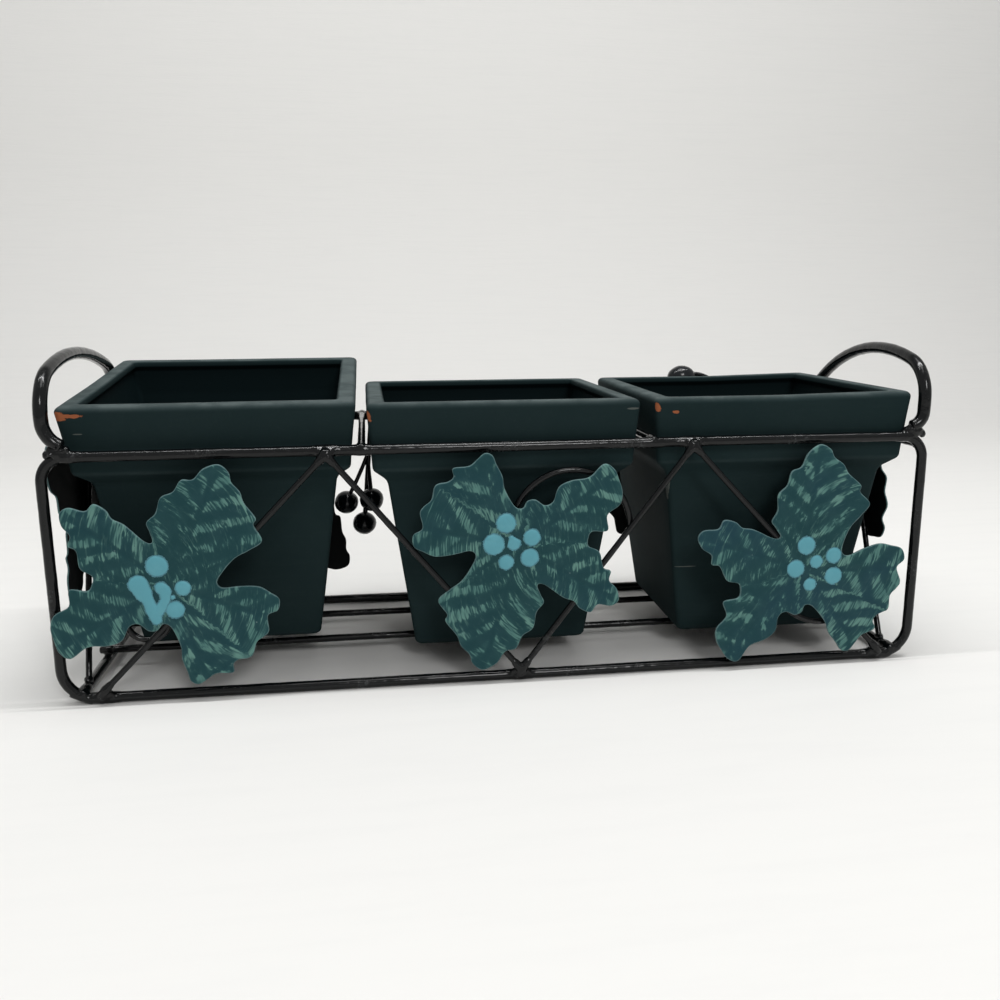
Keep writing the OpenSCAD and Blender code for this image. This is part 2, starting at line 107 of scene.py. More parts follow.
class PlanterWireSizes(PropertyGroup):
    """Sizes of the bent rods and thin wires of the rack."""

    post_x: length("Post distance", "From the middle of the rack to the centre of a post", HALF_LENGTH)
    hoop_y: length("Hoop distance", "From the middle of the rack to the centre of a hoop", 0.055)
    bottom_z: length("Bottom rail height", "Height of the centre of the bottom rails", 0.002)
    top_z: length("Top rail height", "Height of the centre of the top rails", 0.0944)
    hoop_rod: length("Hoop rod", "Diameter of the hoop rod", 0.004)
    top_bend: length("Top bend", "Radius of the top corners of a hoop", 0.009)
    bottom_bend: length("Bottom bend", "Radius of the bottom corners of a hoop", 0.012)
    base_rod: length("Base rod", "Diameter of the rods across the base", 0.004)
    slat_rod: length("Slat rod", "Diameter of the long rods under the pots", 0.003)
    top_rod: length("Top rod", "Diameter of the thin rods across the top", 0.003)
    handle_rod: length("Handle rod", "Diameter of the handle rod", 0.005)
    left_rise: length("Left handle rise", "Height of the left crown centre above the top rail", 0.0346)
    right_rise: length("Right handle rise", "Height of the right crown centre above the top rail", 0.0336)
    handle_shoulder: length("Front shoulder", "Radius of the bend at the front shoulder of a handle", 0.016)
    left_crown: length("Left crown", "Radius of the left crown in front of its highest point", 0.116)
    right_crown: length("Right crown", "Radius of the right crown in front of its highest point", 0.088)
    back_shoulder: length("Back shoulder", "Radius of the left handle's back shoulder", 0.028)
    trim_wire: length("Trim wire", "Diameter of the zigzag and tendril wire", 0.0024)
    branch_wire: length("Branch wire", "Diameter of the thinner berry wires", 0.002)
    berry: length("Berry", "Diameter of a berry ball", 0.0116)
    lumps: length("Paint lumps", "Unevenness of the thick paint on the rods", 0.00009)
    wander: length("Hand bending", "How far a hand-bent rod strays from its straight line", 0.00015)


class PlanterLeafSizes(PropertyGroup):
    """Sizes of the stamped leaves."""

    reach: length("Leaf reach", "From the middle of a leaf to the tip of its longest lobe", 0.0495)
    sheet: length("Leaf sheet", "Thickness of the leaf sheet", 0.0009)
    bow: length("Lobe bow", "How far the lobes curl out of the flat sheet", 0.0006)
    crease: length("Vein crease", "Depth of the crease along each main vein", 0.00022)
    grid: length("Mesh size", "Distance between the points inside a leaf", 0.0011)
    dot_height: length("Dot height", "Height of the thick paint dots", 0.00045)


class PlanterPotSizes(PropertyGroup):
    """Sizes of a square clay pot."""

    rim_width: length("Rim width", "Outer width of the rim at its top edge", 0.1056)
    rim_low_width: length("Rim lower width", "Outer width of the rim at its lower edge", 0.1022)
    rim_height: length("Rim height", "Height of the rim band", 0.025)
    body_width: length("Body width", "Width of the body just under the rim", 0.091)
    foot_width: length("Foot width", "Outer width at the foot", 0.071)
    height: length("Pot height", "Height of a pot", 0.1008)
    neck: length("Neck height", "Height of the curved neck under the rim", 0.004)
    wall: length("Wall", "Thickness of the clay wall", 0.005)
    rim_wall: length("Rim wall", "Thickness of the wall at the rim", 0.0072)
    floor: length("Floor", "Thickness of the pot floor", 0.006)
    corner: length("Corner", "Radius of the upright corners", 0.0023)
    lip: length("Lip", "Radius along the outer top edge", 0.0022)
    crown: length("Crown", "How far the rounded rim stands over its nominal height", 0.0014)
    drain: length("Drain hole", "Diameter of the drain hole", 0.010)
    unevenness: length("Unevenness", "How far the slip-cast walls stray from flat", 0.00028)


class PlanterColours(PropertyGroup):
    """Colours of the paints and of the clay."""

    black: colour("Black paint", "Gloss paint on the wire", (0.0022, 0.0028, 0.0032))
    scuff: colour("Scuffed paint", "Where the black paint is rubbed", (0.040, 0.043, 0.044))
    leaf_back: colour("Leaf back", "Dull black paint on the back of a leaf", (0.0045, 0.0055, 0.0060))
    teal: colour("Leaf paint", "Dark ground coat of the leaves", (0.0105, 0.0500, 0.0560))
    teal_blue: colour("Leaf paint, blue side", "Bluer shade of the ground coat", (0.0125, 0.0490, 0.0680))
    stroke: colour("Brush strokes", "Pale strokes brushed over the leaves", (0.150, 0.305, 0.262))
    leaf_edge: colour("Leaf edge", "Paint worn pale along the cut edge", (0.15, 0.24, 0.24))
    dot: colour("Dots", "Thick blue dots on the front leaves", (0.098, 0.325, 0.390))
    pot: colour("Pot paint", "Matt dark green paint on the clay", (0.0122, 0.0240, 0.0252))
    # Pale rubbing along the rim edges, with a painted highlight on the top of the lip
    pot_rub_and_highlight: colour("Rubbed pot paint", "Pale rubbing along the rim edges", (0.085, 0.108, 0.108))
    clay: colour("Clay", "Bare clay in the chips", (0.34, 0.125, 0.060))
    floor: colour("Floor", "Cloth under and behind the rack", (0.80, 0.795, 0.775))


class PlanterSeeds(PropertyGroup):
    """The seed of the random shapes."""

    seed: IntProperty(name="Seed", description="Changes every lump and every stray bend", default=7, min=0)


# Shader tools


class Socket:
    """An output socket on which Python's operators add Math nodes."""

    def __init__(self, shader, out):
        self.shader = shader
        self.out = out

    def math(self, operation, *values):
        return self.shader.node("ShaderNodeMath", {"operation": operation}, dict(enumerate((self, *values))))

    def __add__(self, other):
        return self.math("ADD", other)

    def __sub__(self, other):
        return self.math("SUBTRACT", other)

    def __mul__(self, other):
        return self.math("MULTIPLY", other)

    def __rsub__(self, other):
        return self.math("MULTIPLY", -1.0).math("ADD", other)

    __radd__ = __add__
    __rmul__ = __mul__

    def most(self, other):
        return self.math("MAXIMUM", other)

    def wave(self):
        return self.math("SINE")

    def between(self, low, high):
        """0 below low and 1 above high, with a smooth step. It falls where low is above high."""
        return self.shader.node(
            "ShaderNodeMapRange",
            {"interpolation_type": "SMOOTHSTEP", "clamp": True},
            {"Value": self, "From Min": low, "From Max": high, "To Min": 0.0, "To Max": 1.0},
        )


class Paint:
    """A material that is written down as Python expressions."""

    def __init__(self, name):
        self.material = bpy.data.materials.new(name)
        self.material.use_nodes = True
        self.tree = self.material.node_tree
        self.tree.nodes.clear()
        self.surface = self.tree.nodes.new("ShaderNodeBsdfPrincipled")
        end = self.tree.nodes.new("ShaderNodeOutputMaterial")
        self.tree.links.new(self.surface.outputs[0], end.inputs[0])

    def node(self, kind, settings=None, inputs=None, output=0):
        """A node of that type, its settings first, then the values or links of its sockets."""
        made = self.tree.nodes.new(kind)
        for key, value in (settings or {}).items():
            setattr(made, key, value)
        for key, value in (inputs or {}).items():
            self.plug(self.socket(made.inputs, key), value)
        return Socket(self, self.socket(made.outputs, output))

    @staticmethod
    def socket(sockets, key):
        """The socket of that number, identifier or name."""
        if isinstance(key, int):
            return sockets[key]
        for s in sockets:
            if s.identifier == key:
                return s
        return sockets[key]

    def plug(self, target, value):
        if isinstance(value, Socket):
            self.tree.links.new(value.out, target)
        elif target.type == "RGBA":
            target.default_value = (*value[:3], 1.0)
        else:
            target.default_value = value

    def own(self):
        """Coordinates that stay on the piece when it moves."""
        return self.node("ShaderNodeTexCoord", output="Object")

    def attribute(self, name):
        return self.node("ShaderNodeAttribute", {"attribute_name": name}, output="Fac")

    def vector(self, x, y, z):
        return self.node("ShaderNodeCombineXYZ", None, {0: x, 1: y, 2: z})

    def on_vectors(self, operation, a, b, output=0):
        return self.node("ShaderNodeVectorMath", {"operation": operation}, {0: a, 1: b}, output)

    def scaled(self, vector, by):
        return self.on_vectors("MULTIPLY", vector, by)

    def moved(self, vector, by):
        return self.on_vectors("ADD", vector, by)

    def distance(self, vector, point):
        return self.on_vectors("DISTANCE", vector, point, "Value")

    def noise(self, vector, scale, detail=3.0, roughness=0.5, distortion=0.0):
        inputs = {"Vector": vector, "Scale": scale, "Detail": detail, "Roughness": roughness}
        return self.node("ShaderNodeTexNoise", None, {**inputs, "Distortion": distortion})

    def cells(self, vector, scale):
        return self.node("ShaderNodeTexVoronoi", None, {"Vector": vector, "Scale": scale})

    def mix(self, factor, a, b):
        """Colour a turned to colour b by the factor."""
        return self.node(
            "ShaderNodeMix",
            {"data_type": "RGBA", "clamp_factor": True},
            {"Factor_Float": factor, "A_Color": a, "B_Color": b},
            output="Result_Color",
        )

    def bump(self, height, distance, strength=1.0, under=None):
        inputs = {"Height": height, "Distance": distance, "Strength": strength}
        if under is not None:
            inputs["Normal"] = under
        return self.node("ShaderNodeBump", None, inputs)

    def finish(self, **sockets):
        for key, value in sockets.items():
            self.plug(self.surface.inputs[key.replace("_", " ")], value)
        return self.material


# Paints


def black_paint(c):
    """Thick black gloss paint over rod, with runs, dust specks and rubbed places."""
    dust_grey = (0.10, 0.10, 0.10)
    p = Paint("black_gloss_paint")
    at = p.own()
    runs = p.noise(at, 260.0, 2.0, 0.45)
    grit = p.noise(at, 1500.0, 2.0, 0.6)
    dust = p.cells(at, 950.0).between(0.16, 0.06)
    patch = p.noise(at, 45.0, 4.0, 0.6)
    rubbed = patch.between(0.60, 0.74) * p.noise(at, 700.0, 3.0, 0.7).between(0.46, 0.62)
    base = p.mix(rubbed * 0.75, c.black, c.scuff)
    base = p.mix(dust * patch.between(0.45, 0.65) * 0.5, base, dust_grey)
    bump = p.bump(runs, 0.00040, 0.45)
    bump = p.bump(grit, 0.00006, 0.20, under=bump)
    bump = p.bump(dust, 0.0001, 0.5, under=bump)
    rough = 0.10 + patch * 0.08 + rubbed * 0.25
    return p.finish(Base_Color=base, Roughness=rough, Normal=bump, Specular_IOR_Level=0.30)


def leaf_back_paint(c):
    """Thin dull black paint on the back of a leaf, with the grain of the sheet under it."""
    thin_black = (0.011, 0.013, 0.014)
    p = Paint("leaf_back_paint")
    at = p.own()
    thin = p.noise(at, 60.0, 4.0, 0.6)
    base = p.mix(thin.between(0.52, 0.72) * 0.5, c.leaf_back, thin_black)
    bump = p.bump(p.noise(at, 300.0, 3.0, 0.6), 0.0001, 0.4)
    return p.finish(Base_Color=base, Roughness=0.55 + thin * 0.2, Normal=bump, Specular_IOR_Level=0.15)


def berry_paint(c):
    """Dipped black gloss paint on the balls, with a soft orange-peel skin."""
    dipped_black = (0.004, 0.006, 0.008)
    p = Paint("berry_gloss_paint")
    at = p.own()
    peel = p.noise(at, 420.0, 2.0, 0.4)
    rub = p.noise(at, 150.0, 4.0, 0.65).between(0.60, 0.72)
    base = p.mix(rub * 0.5, dipped_black, c.scuff)
    bump = p.bump(peel, 0.00022, 0.4)
    rough = 0.13 + peel * 0.08 + rub * 0.2
    return p.finish(Base_Color=base, Roughness=rough, Normal=bump, Specular_IOR_Level=0.35)


def leaf_paint(c):
    """Dark teal ground, dabs of pale dry brushing between the dark veins, and a worn pale edge."""
    cloudy_teal = (0.024, 0.072, 0.080)
    thin_stroke = (0.092, 0.215, 0.195)
    stroke_shade = (0.040, 0.115, 0.112)
    nick_grey = (0.30, 0.42, 0.42)
    p = Paint("leaf_brushed_paint")
    at = p.own()
    edge = p.attribute("edge_mm")
    vein = p.attribute("vein_mm")
    across = p.attribute("bristle_across_mm")
    along = p.attribute("bristle_along_mm")
    step = p.attribute("side_vein")
    leaf = p.attribute("leaf_number")
    cloud = p.noise(at, 24.0, 3.0, 0.55)
    ground = p.mix(cloud.between(0.42, 0.66) * leaf.between(0.5, 2.5).most(0.35), c.teal, c.teal_blue)
    ground = p.mix(p.noise(at, 150.0, 4.0, 0.6).between(0.38, 0.72) * 0.35, ground, cloudy_teal)
    fine = p.noise(p.vector(across * 0.95, along * 0.12, leaf * 7.0), 1.0, 2.0, 0.6, 0.2)
    hair = p.noise(p.vector(across * 2.0, along * 0.22, leaf * 3.0), 1.0, 1.0, 0.5)
    ends = p.noise(p.vector(across * 0.9, along * 0.30, leaf * 5.0), 1.0, 3.0, 0.65)
    flat = p.scaled(at, (1.0, 1.0, 0.0))
    dabs = p.noise(p.moved(flat, p.vector(0.0, 0.0, leaf)), 75.0, 2.0, 0.5)
    large = p.noise(p.moved(flat, p.vector(leaf, 0.0, 0.0)), 26.0, 1.0, 0.4)
    band = (step + (ends - 0.5) * 2.2 + (dabs - 0.5) * 4.5 + (large - 0.5) * 9.0).wave()
    often = (dabs * 0.45 + large * 0.55 + ends * 0.45).between(0.60, 0.74)
    dab = band.between(-0.75, 0.75) * often * vein.between(0.2, 1.6)
    rim = edge.between(6.0, 1.0) * large.between(0.44, 0.56) * (ends + dabs).between(0.88, 1.10)
    where = dab.most(rim * 0.85)
    stroke = (fine * 0.45 + hair * 0.55 + (where - 1.0) * 0.26).between(0.40, 0.57)
    thin = fine.between(0.52, 0.62) * hair.between(0.42, 0.60) * ends.between(0.42, 0.58)
    pale = p.mix(p.noise(at, 95.0, 2.0).between(0.38, 0.66), thin_stroke, c.stroke)
    base = p.mix(thin * 0.20, ground, c.stroke)
    base = p.mix(where * 0.28, base, stroke_shade)
    base = p.mix(stroke * 0.80, base, pale)
    nick = p.cells(at, 170.0).between(0.085, 0.035) * p.noise(at, 47.0).between(0.57, 0.66)
    base = p.mix(nick * 0.7, base, nick_grey)
    worn = (edge + p.noise(at, 330.0, 3.0) * 0.8).between(0.80, 0.50)
    base = p.mix(worn * 0.55, base, c.leaf_edge)
    bump = p.bump(p.noise(at, 170.0, 3.0, 0.5), 0.00018, 0.45)
    bump = p.bump(stroke + thin * 0.4, 0.00006, 0.5, under=bump)
    rough = 0.46 + stroke * 0.14 + cloud * 0.1
    return p.finish(Base_Color=base, Roughness=rough, Normal=bump, Specular_IOR_Level=0.12)


def dot_paint(c):
    """Thick sky-blue paint, paler where it stands up."""
    thin_blue = (0.060, 0.170, 0.210)
    pale_blue = (0.135, 0.385, 0.450)
    p = Paint("leaf_dot_paint")
    at = p.own()
    height = p.attribute("dot_mm")
    base = p.mix(height.between(0.03, 0.30), thin_blue, c.dot)
    base = p.mix(p.noise(at, 260.0, 3.0).between(0.45, 0.72) * 0.30, base, pale_blue)
    bump = p.bump(p.noise(at, 380.0, 3.0), 0.00018, 0.45)
    return p.finish(Base_Color=base, Roughness=0.45, Normal=bump, Specular_IOR_Level=0.3)


def worn_spots(p, at, spots, ragged, none, full):
    """1 inside the spots, each a centre with its reach on each axis, and 0 away from them."""
    worn = []
    for centre, reach in spots:
        near = p.scaled(at, tuple(1 / r for r in reach))
        span = p.distance(near, tuple(c / r for c, r in zip(centre, reach)))
        worn.append((span + ragged).between(none, full))
    return functools.reduce(Socket.most, worn)


def pot_paint(name, c, chips, scratches, shift):
    """Matt dark green paint over clay: rubbed rim edges with a painted highlight along the lip top, painted
    shade inside, chips down to the clay, scratches.
    """
    washed_green = (0.0142, 0.0262, 0.0275)
    speck_green = (0.032, 0.046, 0.045)
    brushed_green = (0.026, 0.042, 0.042)
    inside_shade_green = (0.0035, 0.0085, 0.0098)
    scratch_grey = (0.16, 0.17, 0.155)
    clay_red = (0.30, 0.085, 0.035)
    p = Paint(name)
    at = p.own()
    moved = p.moved(at, shift)
    edge = p.attribute("rim_rub_and_highlight")
    inner = p.attribute("inside")
    wash = p.noise(moved, 22.0, 5.0, 0.6)
    speck = p.noise(moved, 620.0, 4.0, 0.7)
    base = p.mix(wash.between(0.36, 0.68), c.pot, washed_green)
    base = p.mix(speck.between(0.56, 0.80) * 0.22, base, speck_green)
    brushed = p.noise(p.scaled(moved, (1.0, 1.0, 9.0)), 38.0, 4.0, 0.6).between(0.50, 0.78)
    base = p.mix(brushed * 0.12, base, brushed_green)
    # Painted shade: the green darkens deeper inside the pot
    base = p.mix(inner * 0.80, base, inside_shade_green)
    # Pale rim edges: rubbed paint, and a painted highlight along the top of the lip
    rub = edge * (0.45 + p.noise(moved, 70.0, 5.0, 0.6).between(0.38, 0.64) * 0.45)
    base = p.mix(rub, base, c.pot_rub_and_highlight)
    ragged = p.noise(moved, 430.0, 4.0, 0.65)
    bare = worn_spots(p, at, chips, ragged * 1.3, 1.58, 1.42)
    line = worn_spots(p, at, scratches, ragged * 0.9, 1.36, 1.18)
    base = p.mix(line * 0.5, base, scratch_grey)
    base = p.mix(bare, base, p.mix(speck, c.clay, clay_red))
    bump = p.bump(p.noise(moved, 55.0, 3.0, 0.5), 0.0006, 0.35)
    bump = p.bump(speck, 0.00012, 0.5, under=bump)
    bump = p.bump(1.0 - bare, 0.00025, 0.8, under=bump)
    rough = 0.60 + wash * 0.14 - edge * 0.06
    return p.finish(Base_Color=base, Roughness=rough, Normal=bump, Specular_IOR_Level=0.025)


def cloth(c):
    """Plain pale woven cloth of the floor and the backdrop."""
    slub_grey = (0.72, 0.72, 0.71)
    p = Paint("pale_cloth")
    at = p.own()
    weave = p.noise(p.scaled(at, (60.0, 60.0, 900.0)), 1.0, 2.0, 0.5)
    slub = p.noise(p.scaled(at, (14.0, 90.0, 420.0)), 1.0, 3.0, 0.6)
    base = p.mix(slub.between(0.40, 0.75) * 0.16, c.floor, slub_grey)
    return p.finish(Base_Color=base, Roughness=0.95, Normal=p.bump(weave, 0.0006, 0.25))


# Mesh tools

# Distance between the points of a bent rod and of a thin stem
ROD_STEP = 0.0014
STEM_STEP = 0.001
# Distance between the points of an arc
ARC_STEP = 0.0012
# Steps in the rounded corner of a bent wire, and the share of a straight run that it may take
CORNER_STEPS = 8
WIRE_CUT = 1 / 3
# Inner points over which the hand bending fades out towards an end
HELD_POINTS = 8
ROD_SIDES = 14
# How far the rings of a rod's rounded end stand out, and their radii, as shares of the rod's radius
ROD_END = [(0.28, 0.62), (0.12, 0.88)]
SPINDLE_SIDES = 12
SPINDLE_STEPS = 6


def link_object(name, data):
    obj = bpy.data.objects.new(name, data)
    bpy.context.scene.collection.objects.link(obj)
    return obj


def shade_smooth(mesh):
    mesh.polygons.foreach_set("use_smooth", [True] * len(mesh.polygons))


def add_piece(name, mesh, body, materials, replaces, place=None):
    """Puts a mesh into the scene as a piece that rides on a body and stands for its CAD nodes."""
    obj = link_object(name, mesh)
    if place is not None:
        obj.matrix_world = place
    for material in materials:
        mesh.materials.append(material)
    shade_smooth(mesh)
    mesh.update()
    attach(obj, body)
    if replaces:
        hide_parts(*replaces)


def add_black(name, mesh, nodes, skin=None):
    """A black painted piece of the rack."""
    add_piece(name, mesh, RACK, [skin or black()], nodes)


def mesh_from(name, verts, faces, attributes=None, face_materials=None):
    """A mesh from points and faces, with float attributes on its points."""
    mesh = bpy.data.meshes.new(name)
    mesh.from_pydata([tuple(v) for v in verts], [], [tuple(f) for f in faces])
    for key, values in (attributes or {}).items():
        layer = mesh.attributes.new(key, "FLOAT", "POINT")
        layer.data.foreach_set("value", np.asarray(values, np.float32))
    if face_materials is not None:
        mesh.polygons.foreach_set("material_index", face_materials)
    mesh.validate()
    return mesh


def arc(centre, u, v, radius, start, end):
    """Points of an arc in the plane of the directions u and v, angles in degrees."""
    a, b = math.radians(start), math.radians(end)
    n = max(3, round(abs(b - a) * radius / ARC_STEP))
    angles = [a + (b - a) * i / n for i in range(n + 1)]
    return [centre + (u * math.cos(t) + v * math.sin(t)) * radius for t in angles]


def chain(*runs):
    """Joins runs of points into one path without doubled points."""
    path = []
    for run in runs:
        for point in run:
            if not path or (point - path[-1]).length > 1e-6:
                path.append(point)
    return path


def dense(path, step, closed=False):
    """The path with points at most a step apart."""
    made = []
    ends = path + [path[0]] if closed else path
    for p, q in zip(ends, ends[1:]):
        n = max(1, math.ceil((q - p).length / step))
        made += [p.lerp(q, i / n) for i in range(n)]
    if not closed:
        made.append(path[-1])
    return made


def corner_bend(before, corner, after, radius, most):
    """Middle of a corner's bend and the ways from it to its ends. It takes that share of a run at most."""
    a, b = (before - corner).normalized(), (after - corner).normalized()
    half = a.angle(b) / 2
    cut = min(radius / math.tan(half), (before - corner).length * most, (after - corner).length * most)
    middle = corner + (a + b).normalized() * (cut * math.tan(half) / math.sin(half))
    return middle, corner + a * cut - middle, corner + b * cut - middle


def rounded(path, radius):
    """A path of straight runs whose corners are bent with that radius."""
    shares = [i / CORNER_STEPS for i in range(CORNER_STEPS + 1)]
    made = [path[0]]
    for before, corner, after in zip(path, path[1:], path[2:]):
        middle, first, last = corner_bend(before, corner, after, radius, WIRE_CUT)
        made += [middle + first.lerp(last, share).normalized() * first.length for share in shares]
    return made + [path[-1]]


def wander(path, amount, number, closed=False):
    """Moves the inner points of a path a little, as on a hand-bent rod. Its ends stay."""
    total = len(path)
    made = []
    for i, p in enumerate(path):
        hold = 1.0 if closed else min(1.0, min(i, total - 1 - i) / HELD_POINTS)
        shift = noise.noise_vector(p * 14 + Vector((number * 3.1, number * 1.7, number)))
        made.append(p + shift * amount * hold)
    return made


def ring_faces(rings, sides, closed=False):
    """Faces between neighbouring rings of points. An open row of rings gets a face at each end."""
    faces = []
    for i in range(rings if closed else rings - 1):
        j = (i + 1) % rings
        for k in range(sides):
            m = (k + 1) % sides
            faces.append((i * sides + k, i * sides + m, j * sides + m, j * sides + k))
    if not closed:
        faces.append(tuple(range(sides))[::-1])
        faces.append(tuple((rings - 1) * sides + k for k in range(sides)))
    return faces


def rod_directions(path, closed):
    """Direction along a path at each point, one across it, and the twist left when the path closes."""
    n = len(path)
    along = []
    for i in range(n):
        before = path[i - 1] if closed or i else path[i]
        after = path[(i + 1) % n] if closed or i < n - 1 else path[i]
        along.append((after - before).normalized())
    side = along[0].orthogonal().normalized()
    across = []
    for way in along:
        side = (side - way * side.dot(way)).normalized()
        across.append(side)
    last = (across[-1] - along[0] * across[-1].dot(along[0])).normalized()
    twist = math.atan2(across[0].cross(last).dot(along[0]), across[0].dot(last)) if closed else 0.0
    return along, across, twist


def tube(path, radius, number, lumps, closed=False):
    """Points and faces of a rod along a path, with the uneven skin of thick paint."""
    along, across, twist = rod_directions(path, closed)
    rings = []
    for i, (p, way, side) in enumerate(zip(path, along, across)):
        rings.append((p, way, side, radius, -twist * i / len(path)))
    if not closed:
        head, tail = (
            [(p + way * radius * out * sign, way, side, radius * size, 0.0) for out, size in ROD_END]
            for (p, way, side, _, _), sign in ((rings[0], -1), (rings[-1], 1))
        )
        rings = head + rings + tail[::-1]
    verts = []
    offset = Vector((number * 7.7, -number * 3.3, number * 5.1))
    for p, way, side, r, turn in rings:
        other = way.cross(side)
        for k in range(ROD_SIDES):
            a = 2 * math.pi * k / ROD_SIDES + turn
            out = side * math.cos(a) + other * math.sin(a)
            where = (p + out * r) * 210 + offset
            swell = noise.noise(where) * 0.7 + noise.noise(where * 2.7) * 0.45
            verts.append(p + out * (r + lumps * swell))
    return verts, ring_faces(len(rings), ROD_SIDES, closed)


def together(parts):
    """One list of points and faces from several."""
    verts, faces = [], []
    for v, f in parts:
        start = len(verts)
        verts += list(v)
        faces += [tuple(i + start for i in face) for face in f]
    return verts, faces


def add_rod(name, node, path, diameter, number, closed=False):
    """A painted rod along a path, which stands for a CAD node. The number picks its lumps and bends."""
    w = wires()
    draw = seed() + number
    fine = wander(dense(path, ROD_STEP, closed), w.wander, draw, closed)
    add_black(name, mesh_from(name, *tube(fine, diameter / 2, draw, w.lumps, closed)), [node])


def ball(centre, radius, number, uneven, squash=(1, 1, 1), level=3):
    """Points and faces of a slightly uneven ball."""
    bm = bmesh.new()
    bmesh.ops.create_icosphere(bm, subdivisions=level, radius=1.0)
    verts = []
    offset = Vector((number * 2.3, number * 4.1, -number * 1.9))
    for v in bm.verts:
        n = v.co.normalized()
        swell = 1 + uneven * noise.noise(n * 1.3 + offset) + uneven * 0.5 * noise.noise(n * 3.1 + offset)
        verts.append(centre + Vector(a * b for a, b in zip(n, squash)) * radius * swell)
    faces = [tuple(v.index for v in f.verts) for f in bm.faces]
    bm.free()
    return verts, faces


def spindle(centre, way, radius, reach, swell):
    """A short lump around a rod, thick in its middle and thinner than the rod at its ends."""
    side = way.orthogonal().normalized()
    other = way.cross(side)
    verts = []
    for i in range(SPINDLE_STEPS + 1):
        t = i / SPINDLE_STEPS * 2 - 1
        r = radius - swell * 0.35 + swell * 1.35 * (1 - t * t)
        for k in range(SPINDLE_SIDES):
            a = 2 * math.pi * k / SPINDLE_SIDES
            verts.append(centre + way * (reach * t) + (side * math.cos(a) + other * math.sin(a)) * r)
    return verts, ring_faces(SPINDLE_STEPS + 1, SPINDLE_SIDES)


def clusters(parts, gap=0.0006):
    """Groups of parts whose boxes touch."""
    groups = []
    for verts, faces in parts:
        points = np.array([tuple(v) for v in verts])
        low, high = points.min(0) - gap, points.max(0) + gap
        members = [(verts, faces)]
        apart = []
        for group in groups:
            if (low < group[1]).all() and (group[0] < high).all():
                low, high = np.minimum(low, group[0]), np.maximum(high, group[1])
                members += group[2]
            else:
                apart.append(group)
        groups = apart + [(low, high, members)]
    return [group[2] for group in groups]


def skin_over(parts, voxel, smooth):
    """Points and faces of one skin over parts that touch each other."""
    inner = mesh_from("lump_parts", *together(parts))
    temp = link_object("lump_parts", inner)
    remesh = temp.modifiers.new("Skin", "REMESH")
    remesh.mode = "VOXEL"
    remesh.voxel_size = voxel
    soft = temp.modifiers.new("Soft", "SMOOTH")
    soft.iterations = smooth
    soft.factor = 0.6
    outer = temp.evaluated_get(bpy.context.evaluated_depsgraph_get()).to_mesh()
    verts = [v.co.copy() for v in outer.vertices]
    faces = [tuple(f.vertices) for f in outer.polygons]
    bpy.data.objects.remove(temp)
    bpy.data.meshes.remove(inner)
    return verts, faces


def fused(name, parts, number, voxel=0.0004, smooth=5, rough=0.00012):
    """One lumpy skin over overlapping parts, as weld metal under paint."""
    mesh = mesh_from(name, *together([skin_over(group, voxel, smooth) for group in clusters(parts)]))
    offset = Vector((number * 1.3, number * 2.9, number * 0.7))
    normals = np.zeros(len(mesh.vertices) * 3, np.float32)
    points = np.zeros(len(mesh.vertices) * 3, np.float32)
    mesh.vertex_normals.foreach_get("vector", normals)
    mesh.vertices.foreach_get("co", points)
    points, normals = points.reshape(-1, 3), normals.reshape(-1, 3)
    spots = [Vector(point) for point in points.tolist()]
    lift = [noise.noise(v * 420 + offset) + 0.6 * noise.noise(v * 1100 + offset) for v in spots]
    points += normals * (rough * np.array(lift, np.float32))[:, None]
    mesh.vertices.foreach_set("co", points.ravel())
    return mesh


# Shared places

# Places along the rack, as shares of the distance from its middle to a post
ZIGZAG_SHARES = [-0.912, -0.406, 0.026, 0.426, 0.915]
DIVIDER_SHARES = (-0.328, 0.335)
HANGING_BERRIES_SHARE = -0.303
UPRIGHT_BERRY_SHARE = 0.6606
# Distance from a post to the rod across the base and to the one across the top
BASE_ROD_INSET = 0.007
TOP_ROD_INSET = 0.002
# Distance from the middle of the rack to a slat, and to a foot of an end zigzag
SLAT_Y = 0.0165
END_ZIGZAG_FOOT = 0.046
# Height of the lower zigzag bends over the bottom rail, and of the top rail over the upper bends
ZIGZAG_RISE = 0.003
ZIGZAG_DROP = 0.001
# Radius of the curl of the upright berry, height of its middle over the top rail, and its lean in degrees
CURL_RADIUS = 0.014
CURL_RISE = 0.004
CURL_LEAN = 19.5
# Length of the straight end of a handle's front foot
HANDLE_TOE = 0.0005
# Direction from the middle of a crown to the end of its bend, along Y and Z
CROWN_END_Y, CROWN_END_Z = 0.28, 0.96
